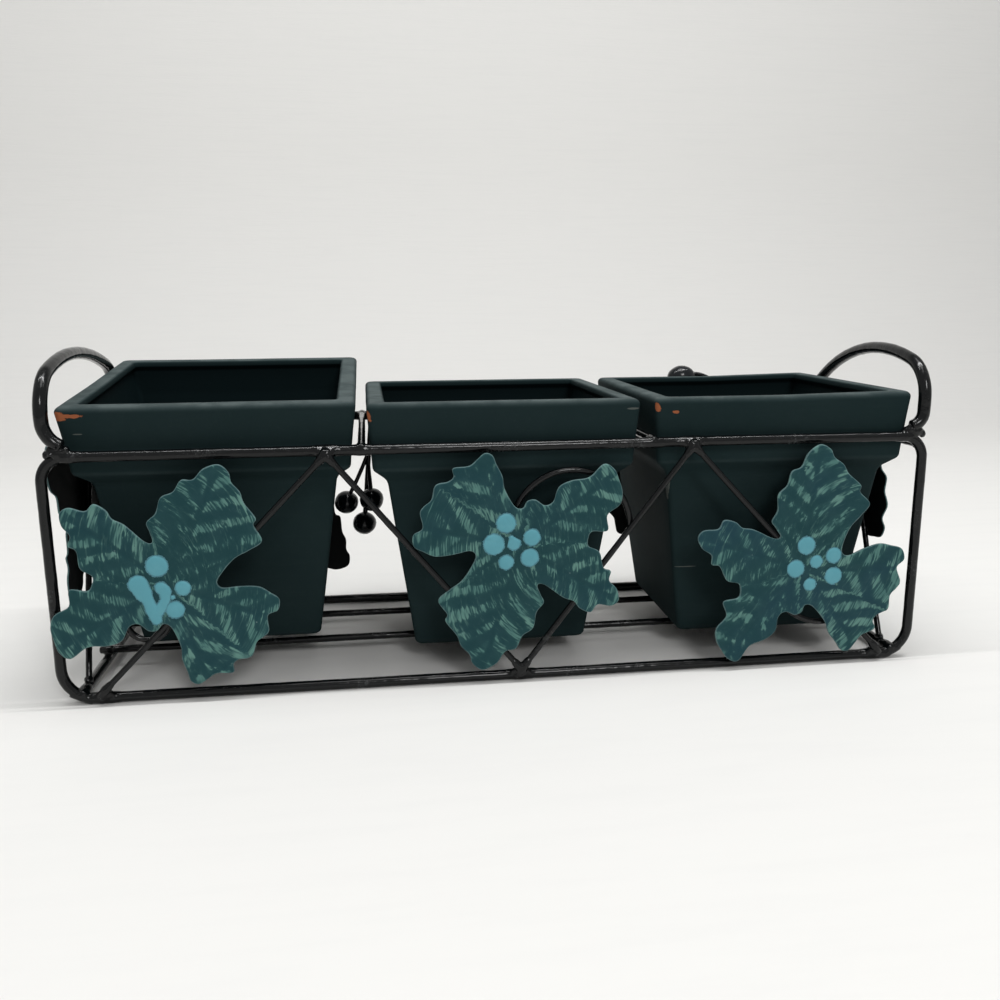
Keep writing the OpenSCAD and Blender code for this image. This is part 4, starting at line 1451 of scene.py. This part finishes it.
def pot_marks():
    """Chips and scratches of the left, middle and right pot, each a centre with its reach on each axis."""
    rim, top = pots().rim_width / 2, pots().height
    left_chips = [
        ((-rim, -rim, top - 0.0018), (0.0040, 0.004, 0.0022)),
        ((-rim + 0.0045, -rim, top - 0.0016), (0.0055, 0.003, 0.0009)),
    ]
    left_scratches = [((-rim + 0.0065, -rim, top - 0.0085), (0.0020, 0.003, 0.0003))]
    middle_chips = [((-rim, -rim, top - 0.0036), (0.0019, 0.0019, 0.0034))]
    middle_scratches = [((rim - 0.003, -rim, top - 0.0022), (0.003, 0.003, 0.0005))]
    right_chips = [
        ((-rim, -rim, top - 0.0022), (0.0023, 0.0023, 0.0022)),
        ((-rim + 0.0079, -rim, top - 0.0040), (0.0015, 0.003, 0.0008)),
    ]
    right_scratches = [
        ((-0.0445, -0.044, 0.060), (0.0008, 0.004, 0.016)),
        ((-0.0345, -0.0400, 0.0300), (0.0058, 0.003, 0.00028)),
    ]
    return [
        (left_chips, left_scratches),
        (middle_chips, middle_scratches),
        (right_chips, right_scratches),
    ]


# Welds

# Side and name of each handle, its inset from the post, radius and angle of its front foot's bend, and the
# inset of its front weld
HANDLE_ENDS = [(-1, "left", 0.002, 0.010, 62, 0.0070), (1, "right", 0.0008, 0.006, 70, 0.0050)]
# Places and radii of the small blobs of paint on the left handle and the front posts
PAINT_BLOBS = [
    (-0.1688, -0.0556, 0.1105, 0.0011),
    (-0.1687, -0.0556, 0.1035, 0.0008),
    (-0.1692, -0.0556, 0.0890, 0.0011),
    (-0.1700, -0.0555, 0.0775, 0.0008),
    (0.1700, -0.0555, 0.0830, 0.0008),
]


class WeldMetal:
    """Drops of weld metal, each with a shape of its own."""

    def __init__(self):
        self.random = random.Random(seed())
        self.count = 0

    def drop(self, centre, radius):
        self.count += 1
        return ball(centre, radius, self.count, 0.22, level=2)

    def spatter(self, centre, spread, count):
        """Small drops around a place."""
        made = []
        for _ in range(count):
            way = Vector([self.random.gauss(0, 1) for _ in range(3)]).normalized()
            made.append(self.drop(centre + way * spread, self.random.uniform(0.0005, 0.0009)))
        return made


def front_welds(metal):
    """Lumps where the bends of the front zigzag meet the rails."""
    w = wires()
    points = zigzag_points()
    parts = []
    for i, p in enumerate(points):
        rail = w.bottom_z if i % 2 == 0 else w.top_z
        centre = Vector((p.x, -w.hoop_y - 0.0014, (p.z + rail) / 2))
        parts.append(spindle(Vector((p.x, -w.hoop_y, rail)), X, w.hoop_rod / 2, reach=0.0075, swell=0.0005))
        for side in (-1, 1):
            if 0 <= i + side < len(points):
                way = (points[i + side] - p).normalized()
                parts.append(spindle(p + way * 0.002, way, w.trim_wire / 2, reach=0.0042, swell=0.0006))
                parts.append(metal.drop(centre + X * side * 0.0021 + Y * 0.0002, 0.00195))
        parts.append(metal.drop(centre, 0.0021))
        parts += metal.spatter(centre, 0.0026, 2)
    return parts


def handle_welds(metal):
    """Lumps at the feet of the handles, and small blobs of paint near the left one."""
    w = wires()
    parts = []
    for side, _, inset, _, _, weld_inset in HANDLE_ENDS:
        out = X * side
        x = side * (w.post_x - weld_inset)
        rail = Vector((x - side * 0.0035, -w.hoop_y, w.top_z))
        centre = Vector((x, -w.hoop_y, (w.top_z + handle_foot_height()) / 2))
        parts.append(spindle(rail, X, w.hoop_rod / 2, reach=0.0052, swell=0.0003))
        parts.append(metal.drop(centre, 0.0026))
        parts.append(metal.drop(centre + out * 0.0022, 0.0023))
        parts.append(metal.drop(centre - out * 0.0022 + Z * 0.0004, 0.0019))
        parts.append(metal.drop(centre + out * 0.0042 - Z * 0.0012, 0.0017))
        parts += metal.spatter(centre, 0.0033, 3)
        centre = Vector((side * (w.post_x - inset), w.hoop_y, top_rod_place()[1] + w.hoop_rod / 2))
        parts.append(metal.drop(centre, 0.0028))
        parts.append(metal.drop(centre - out * 0.0022 + Z * 0.0010, 0.0022))
        parts += metal.spatter(centre, 0.0030, 2)
    return parts + [metal.drop(Vector(place), radius) for *place, radius in PAINT_BLOBS]


def divider_welds(metal):
    """Lumps where the dividers lie on the top rails."""
    w = wires()
    parts = []
    for share in DIVIDER_SHARES:
        for end in (-1, 1):
            centre = Vector((share * w.post_x, end * w.hoop_y, divider_height()))
            rail = Vector((centre.x, centre.y, w.top_z))
            parts.append(spindle(rail, X, w.hoop_rod / 2, reach=0.0055, swell=0.0003))
            parts.append(spindle(centre - Y * end * 0.002, Y, w.top_rod / 2, reach=0.004, swell=0.0005))
            parts.append(metal.drop(centre - Z * 0.0003, 0.0021))
            parts.append(metal.drop(centre + X * 0.0012 - Z * 0.0005, 0.0018))
    return parts


def base_welds(metal):
    """Lumps where the rods across the base meet the bottom bends of the hoops."""
    w = wires()
    base_x, base_z = base_rod_place()
    slope = (base_x - w.post_x + w.bottom_bend) / w.bottom_bend
    level = math.sqrt(1 - slope**2)
    parts = []
    for side in (-1, 1):
        for end in (-1, 1):
            centre = Vector((side * base_x, end * w.hoop_y, base_z))
            rail = Vector((centre.x, centre.y, w.bottom_z + w.bottom_bend * (1 - level)))
            along = Vector((level, 0, side * slope))
            parts.append(spindle(rail, along, w.hoop_rod / 2, reach=0.0045, swell=0.0002))
            parts.append(spindle(centre - Y * end * 0.0025, Y, w.base_rod / 2, reach=0.0045, swell=0.0005))
            parts.append(metal.drop(centre, 0.0023))
            parts.append(metal.drop(centre + X * side * 0.0015, 0.0019))
    return parts


def small_welds(metal):
    """Lumps on the slats, the end zigzags, the rods across the top and the stems of the berries."""
    w = wires()
    base_x, base_z = base_rod_place()
    top_x, top_z = top_rod_place()
    parts = []
    for side in (-1, 1):
        for end in (-1, 1):
            slat = Vector((side * base_x, end * SLAT_Y, slat_height()))
            foot = on_end(side) @ Vector((end * END_ZIGZAG_FOOT, 0, 0))
            parts.append(metal.drop(Vector((slat.x, slat.y, (base_z + slat_height()) / 2)), 0.0019))
            parts.append(spindle(slat, X, w.slat_rod / 2, reach=0.003, swell=0.0003))
            parts.append(metal.drop(foot, 0.0018))
            parts.append(metal.drop(foot + Y * end * 0.0012, 0.0014))
            parts.append(metal.drop(Vector((side * top_x, end * (w.hoop_y - 0.0012), top_z)), 0.0020))
        apex = on_end(side) @ Vector((0, end_rise(), 0))
        parts.append(metal.drop(apex, 0.0019))
        parts.append(spindle(apex, Y, w.top_rod / 2 * 0.9, reach=0.004, swell=0.0004))
    parts.append(metal.drop(berry_places()[1] + Z * 0.0003, 0.0017))
    curl_foot = Vector((UPRIGHT_BERRY_SHARE * w.post_x + CURL_RADIUS, w.hoop_y, w.top_z + 0.0018))
    return parts + [metal.drop(curl_foot, 0.0018)]


# Name of the lumps, what makes their parts, the number of their skin and the CAD node that they stand for
WELDS = [
    ("front_weld_lumps", front_welds, 3, "front_weld_beads"),
    ("handle_weld_lumps", handle_welds, 5, "handle_weld_beads"),
    ("divider_weld_lumps", divider_welds, 7, "divider_weld_beads"),
    ("base_weld_lumps", base_welds, 9, "crossbar_weld_beads"),
]


# Operators

# Place of each tendril as shares of the rack's length and height, its radius as a share of a leaf's reach,
# and the angles of its ends
TENDRILS = {
    "left": (-0.806, 0.33, 0.162, 160, 400),
    "middle": (0.143, 0.636, 0.482, 0, 206),
    "right": (0.771, 0.411, 0.448, 150, 306),
}
# Shares of the trunk's length at which the branches leave it, their sag as a share of theirs, and their steps
BRANCH_SHARES = (0.3, 0.42)
BRANCH_SAG = 0.03
BRANCH_STEPS = 8
# How far a stem reaches into its ball, and how uneven the balls are
STEM_BITE = 0.0006
BERRY_UNEVENNESS = 0.035
# Where the wire of the upright berry ends on its curl and where its ball sits, in degrees
CURL_END = 95
CURL_BERRY = 117.7


class PLANTER_OT_hoops(Operator):
    """Makes the front and back hoops"""

    bl_idname = "planter.hoops"
    bl_label = "Hoops"

    def execute(self, context):
        w = wires()
        for name, y, number in (("front_hoop", -w.hoop_y, 0), ("back_hoop", w.hoop_y, 5)):
            add_rod(name + "_rod", name, hoop_path(y), w.hoop_rod, number, closed=True)
        return {"FINISHED"}


class PLANTER_OT_handles(Operator):
    """Makes the two arched end handles"""

    bl_idname = "planter.handles"
    bl_label = "Handles"

    def execute(self, context):
        w = wires()
        for side, name, inset, foot_bend, toe, _ in HANDLE_ENDS:
            path = handle_path(side, inset, foot_bend, toe, w.left_rise if side < 0 else w.right_rise)
            add_rod(f"{name}_handle_rod", f"{name}_handle", path, w.handle_rod, 20 + side)
        return {"FINISHED"}


class PLANTER_OT_cross_rods(Operator):
    """Makes the rods across the base and the top, and the two slats under the pots"""

    bl_idname = "planter.cross_rods"
    bl_label = "Cross rods and slats"

    def execute(self, context):
        w = wires()
        base_x, base_z = base_rod_place()
        top_x, top_z = top_rod_place()
        left_divider_x, right_divider_x = (share * w.post_x for share in DIVIDER_SHARES)
        bars = [
            ("left_base_crossbar", -base_x, base_z, w.base_rod),
            ("right_base_crossbar", base_x, base_z, w.base_rod),
            ("left_top_crossbar", -top_x, top_z, w.top_rod),
            ("right_top_crossbar", top_x, top_z, w.top_rod),
            ("left_divider", left_divider_x, divider_height(), w.top_rod),
            ("right_divider", right_divider_x, divider_height(), w.top_rod),
        ]
        for k, (node, x, z, diameter) in enumerate(bars):
            path = [Vector((x, -w.hoop_y, z)), Vector((x, w.hoop_y, z))]
            add_rod(node + "_rod", node, path, diameter, 30 + k)
        reach = base_x + w.slat_rod
        for k, (node, y) in enumerate((("front_slat", -SLAT_Y), ("back_slat", SLAT_Y))):
            path = [Vector((-reach, y, slat_height())), Vector((reach, y, slat_height()))]
            add_rod(node + "_rod", node, path, w.slat_rod, 40 + k)
        return {"FINISHED"}


class PLANTER_OT_wire_trim(Operator):
    """Makes the zigzag wires of the front and the ends, and the curled tendrils"""

    bl_idname = "planter.wire_trim"
    bl_label = "Wire trim"

    def execute(self, context):
        w = wires()
        add_rod("front_zigzag_wire", "front_zigzag", rounded(zigzag_points(), 0.0026), w.trim_wire, 50)
        drawn = [-X * END_ZIGZAG_FOOT, Y * end_rise(), X * END_ZIGZAG_FOOT]
        for side, name in ((-1, "left"), (1, "right")):
            path = [on_end(side) @ p for p in rounded(drawn, 0.002)]
            add_rod(f"{name}_end_zigzag_wire", f"{name}_end_zigzag", path, w.trim_wire, 53 + side)
        y = zigzag_y() - w.trim_wire + WELD_BITE
        for k, (name, (along, up, radius, start, end)) in enumerate(TENDRILS.items()):
            centre = Vector((along * w.post_x, -y, w.bottom_z + up * (w.top_z - w.bottom_z)))
            path = arc(centre, X, Z, radius * leaves().reach, start, end)
            add_rod(f"front_{name}_tendril_wire", f"front_{name}_tendril", path, w.trim_wire, 60 + k)
        return {"FINISHED"}


class PLANTER_OT_leaves(Operator):
    """Makes the seven stamped and painted leaves"""

    bl_idname = "planter.leaves"
    bl_label = "Leaves"

    def execute(self, context):
        paints = [paint("leaf_brushed_paint", leaf_paint), paint("leaf_back_paint", leaf_back_paint)]
        for node, (_, _, turn, number) in LEAF_PLACES.items():
            mesh = leaf_mesh(node + "_sheet", number, BRISTLE_WAYS[number % 3] - turn)
            add_piece(node + "_sheet", mesh, RACK, paints, [node], leaf_place(node))
        return {"FINISHED"}


class PLANTER_OT_dots(Operator):
    """Makes the thick blue paint dots on the front leaves"""

    bl_idname = "planter.dots"
    bl_label = "Paint dots"

    def execute(self, context):
        skin = paint("leaf_dot_paint", dot_paint)
        for node in LEAF_DOTS:
            name = node.replace("_leaf", "_paint_dots")
            add_piece(name, dots_mesh(name, node), RACK, [skin], [], leaf_place(node))
        return {"FINISHED"}


class PLANTER_OT_berries(Operator):
    """Makes the berry balls and their wire stems"""

    bl_idname = "planter.berries"
    bl_label = "Berries"

    def execute(self, context):
        skin = paint("berry_gloss_paint", berry_paint)
        self.hanging_berries(skin)
        self.upright_berry(skin)
        return {"FINISHED"}

    def hanging_berries(self, skin):
        w = wires()
        places, top = berry_places()
        forks = [top, *(top.lerp(places[0], share) for share in BRANCH_SHARES)]
        shares = [k / BRANCH_STEPS for k in range(BRANCH_STEPS + 1)]
        stems, balls = [], []
        for k, (fork, centre) in enumerate(zip(forks, places)):
            end = centre + (fork - centre).normalized() * (w.berry / 2 - STEM_BITE)
            sag = -Z * (end - fork).length * (BRANCH_SAG if k else 0.0)
            path = [fork.lerp(end, share) + sag * math.sin(math.pi * share) for share in shares]
            radius = (w.branch_wire if k else w.trim_wire) / 2
            stems.append(tube(dense(path, STEM_STEP), radius, seed() + 70 + k, w.lumps))
            balls.append(ball(centre, w.berry / 2, seed() + k, BERRY_UNEVENNESS, (1, 1, 0.97)))
        mesh = mesh_from("hanging_stems_wire", *together(stems))
        add_black("hanging_stems_wire", mesh, ["hanging_berry_stems"])
        mesh = mesh_from("hanging_berry_balls", *together(balls))
        add_black("hanging_berry_balls", mesh, ["hanging_berries"], skin)

    def upright_berry(self, skin):
        w = wires()
        curl = curl_matrix()
        foot = Vector((CURL_RADIUS, w.hoop_rod / 2 - WELD_BITE - CURL_RISE, 0))
        drawn = chain([foot], arc(Vector((0, 0, 0)), X, Y, CURL_RADIUS, 0, CURL_END))
        add_rod("upright_stem_wire", "upright_berry_stem", [curl @ p for p in drawn], w.trim_wire, 80)
        turned = math.radians(CURL_BERRY)
        centre = curl @ Vector((CURL_RADIUS * math.cos(turned), CURL_RADIUS * math.sin(turned), 0))
        lump = ball(centre, w.berry / 2, seed() + 9, BERRY_UNEVENNESS, (1.26, 1.0, 1.04))
        add_black("upright_berry_ball", mesh_from("upright_berry_ball", *lump), ["upright_berry"], skin)


class PLANTER_OT_welds(Operator):
    """Makes the lumps of painted weld where rods and wires meet"""

    bl_idname = "planter.welds"
    bl_label = "Welds"

    def execute(self, context):
        metal = WeldMetal()
        for name, make, number, node in WELDS:
            add_black(name, fused(name, make(metal), number), [node])
        name = "small_weld_lumps"
        add_black(name, fused(name, small_welds(metal), 11, voxel=0.0003, smooth=3, rough=0.00008), [])
        return {"FINISHED"}


class PLANTER_OT_pots(Operator):
    """Makes the three square clay pots, the left one caught on the back rail"""

    bl_idname = "planter.pots"
    bl_label = "Pots"

    def execute(self, context):
        nodes = (("left_pot", LEFT_POT), ("middle_pot", MIDDLE_POT), ("right_pot", RIGHT_POT))
        for k, ((node, body), place, (chips, scratches)) in enumerate(zip(nodes, pot_places(), pot_marks())):
            shift = (k * 0.37, k * 0.21, k * 0.11)
            skin = pot_paint(f"pot_matt_paint_{k + 1}", colours(), chips, scratches, shift)
            add_piece(node + "_clay", pot_mesh(node + "_clay", k), body, [skin], [node], place)
        return {"FINISHED"}


class PLANTER_OT_stage(Operator):
    """Makes the pale floor and backdrop, the soft lights and the camera"""

    bl_idname = "planter.stage"
    bl_label = "Stage"

    def execute(self, context):
        self.backdrop()
        self.area("key_light", (0.25, -1.4, 0.95), (0, 0, 0.05), (0.4, 0.4), 7.0)
        self.area("ceiling_light", (0.15, -0.15, 1.6), (0, 0, 0), (0.85, 0.85), 8.5)
        self.area("ceiling_tube", (0, -0.08, 1.2), (0, 0, 0), (1.6, 0.03), 8.0)
        self.world()
        self.camera()
        context.scene.view_settings.view_transform = "Standard"
        return {"FINISHED"}

    def backdrop(self):
        """A floor that bends up into a back wall."""
        half_width, front, back, bend, high, steps = 2.6, -2.4, 0.95, 0.35, 2.2, 12
        line = [(front, 0.0)]
        for a in (math.pi / 2 * i / steps for i in range(steps + 1)):
            line.append((back - bend + bend * math.sin(a), bend - bend * math.cos(a)))
        line.append((back, high))
        verts = [Vector((x, y, z)) for y, z in line for x in (-half_width, half_width)]
        faces = [(2 * i, 2 * i + 1, 2 * i + 3, 2 * i + 2) for i in range(len(line) - 1)]
        mesh = mesh_from("cloth_backdrop", verts, faces)
        mesh.materials.append(paint("pale_cloth", cloth))
        shade_smooth(mesh)
        obj = link_object("cloth_backdrop", mesh)

    def area(self, name, place, aim, size, power):
        """A soft lamp at a place that shines at the aim."""
        lamp = bpy.data.lights.new(name, "AREA")
        lamp.shape = "RECTANGLE"
        lamp.size, lamp.size_y = size
        lamp.energy = power
        obj = link_object(name, lamp)
        obj.location = place
        obj.rotation_euler = (Vector(aim) - Vector(place)).to_track_quat("-Z", "Y").to_euler()

    def world(self):
        """Pale light from all round, brighter where it is seen or mirrored than where it lights a surface."""
        world = bpy.data.worlds.new("soft_room")
        bpy.context.scene.world = world
        world.use_nodes = True
        tree = world.node_tree
        tree.nodes.clear()
        rays = tree.nodes.new("ShaderNodeLightPath")
        shown = rays.outputs["Is Camera Ray"]
        for other in ("Is Glossy Ray", "Is Transmission Ray"):
            either = tree.nodes.new("ShaderNodeMath")
            either.operation = "MAXIMUM"
            tree.links.new(shown, either.inputs[0])
            tree.links.new(rays.outputs[other], either.inputs[1])
            shown = either.outputs[0]
        blend = tree.nodes.new("ShaderNodeMixShader")
        tree.links.new(shown, blend.inputs[0])
        # Colour and strength of the light on surfaces, then of what the camera and mirrors see
        rooms = [((1, 1, 1, 1), 0.28), ((1, 1, 0.99, 1), 0.5)]
        for place, (shade, strength) in enumerate(rooms, 1):
            room = tree.nodes.new("ShaderNodeBackground")
            room.inputs["Color"].default_value = shade
            room.inputs["Strength"].default_value = strength
            tree.links.new(room.outputs[0], blend.inputs[place])
        end = tree.nodes.new("ShaderNodeOutputWorld")
        tree.links.new(blend.outputs[0], end.inputs[0])

    def camera(self):
        """The camera of the photograph, as solved from the corners of the hoops and the pots."""
        lens = bpy.data.cameras.new("camera")
        lens.sensor_width = 36.0
        lens.lens = 34.34
        lens.clip_start = 0.01
        lens.clip_end = 20.0
        yaw, pitch, roll = 0.1384, 0.2067, -0.0043
        ahead = Vector((math.sin(yaw) * math.cos(pitch), math.cos(yaw) * math.cos(pitch), -math.sin(pitch)))
        turn = ahead.to_track_quat("-Z", "Y").to_matrix() @ Matrix.Rotation(roll, 3, "Z")
        obj = link_object("camera", lens)
        obj.matrix_world = Matrix.Translation((-0.0532, -0.4115, 0.149)) @ turn.to_4x4()
        bpy.context.scene.camera = obj


OPERATORS = [
    PLANTER_OT_hoops,
    PLANTER_OT_handles,
    PLANTER_OT_cross_rods,
    PLANTER_OT_wire_trim,
    PLANTER_OT_leaves,
    PLANTER_OT_dots,
    PLANTER_OT_berries,
    PLANTER_OT_welds,
    PLANTER_OT_pots,
    PLANTER_OT_stage,
]
GROUPS = {
    "planter_wires": PlanterWireSizes,
    "planter_leaves": PlanterLeafSizes,
    "planter_pots": PlanterPotSizes,
    "planter_colours": PlanterColours,
    "planter_seeds": PlanterSeeds,
}


class PLANTER_PT_panel(Panel):
    """Lists the planter rack's operators and sizes"""

    bl_label = "Planter rack"
    bl_idname = "PLANTER_PT_panel"
    bl_space_type = "VIEW_3D"
    bl_region_type = "UI"
    bl_category = "Planter"

    def draw(self, context):
        for operator in OPERATORS:
            self.layout.operator(operator.bl_idname)
        for name, group in GROUPS.items():
            box = self.layout.box()
            for key in group.__annotations__:
                box.prop(getattr(context.scene, name), key)


def register():
    for group in GROUPS.values():
        bpy.utils.register_class(group)
    for name, group in GROUPS.items():
        setattr(bpy.types.Scene, name, PointerProperty(type=group))
    for cls in (*OPERATORS, PLANTER_PT_panel):
        bpy.utils.register_class(cls)


def unregister():
    for cls in reversed((*OPERATORS, PLANTER_PT_panel)):
        bpy.utils.unregister_class(cls)
    for name in GROUPS:
        delattr(bpy.types.Scene, name)
    for group in reversed(list(GROUPS.values())):
        bpy.utils.unregister_class(group)


def main():
    register()
    # Without this, Blender's noise vectors, which bend the rods and the clay, differ from run to run
    noise.seed_set(seed() + 1)
    bpy.ops.planter.hoops()
    bpy.ops.planter.handles()
    bpy.ops.planter.cross_rods()
    bpy.ops.planter.wire_trim()
    bpy.ops.planter.leaves()
    bpy.ops.planter.dots()
    bpy.ops.planter.berries()
    bpy.ops.planter.welds()
    bpy.ops.planter.pots()
    bpy.ops.planter.stage()


if __name__ == "__main__":
    main()
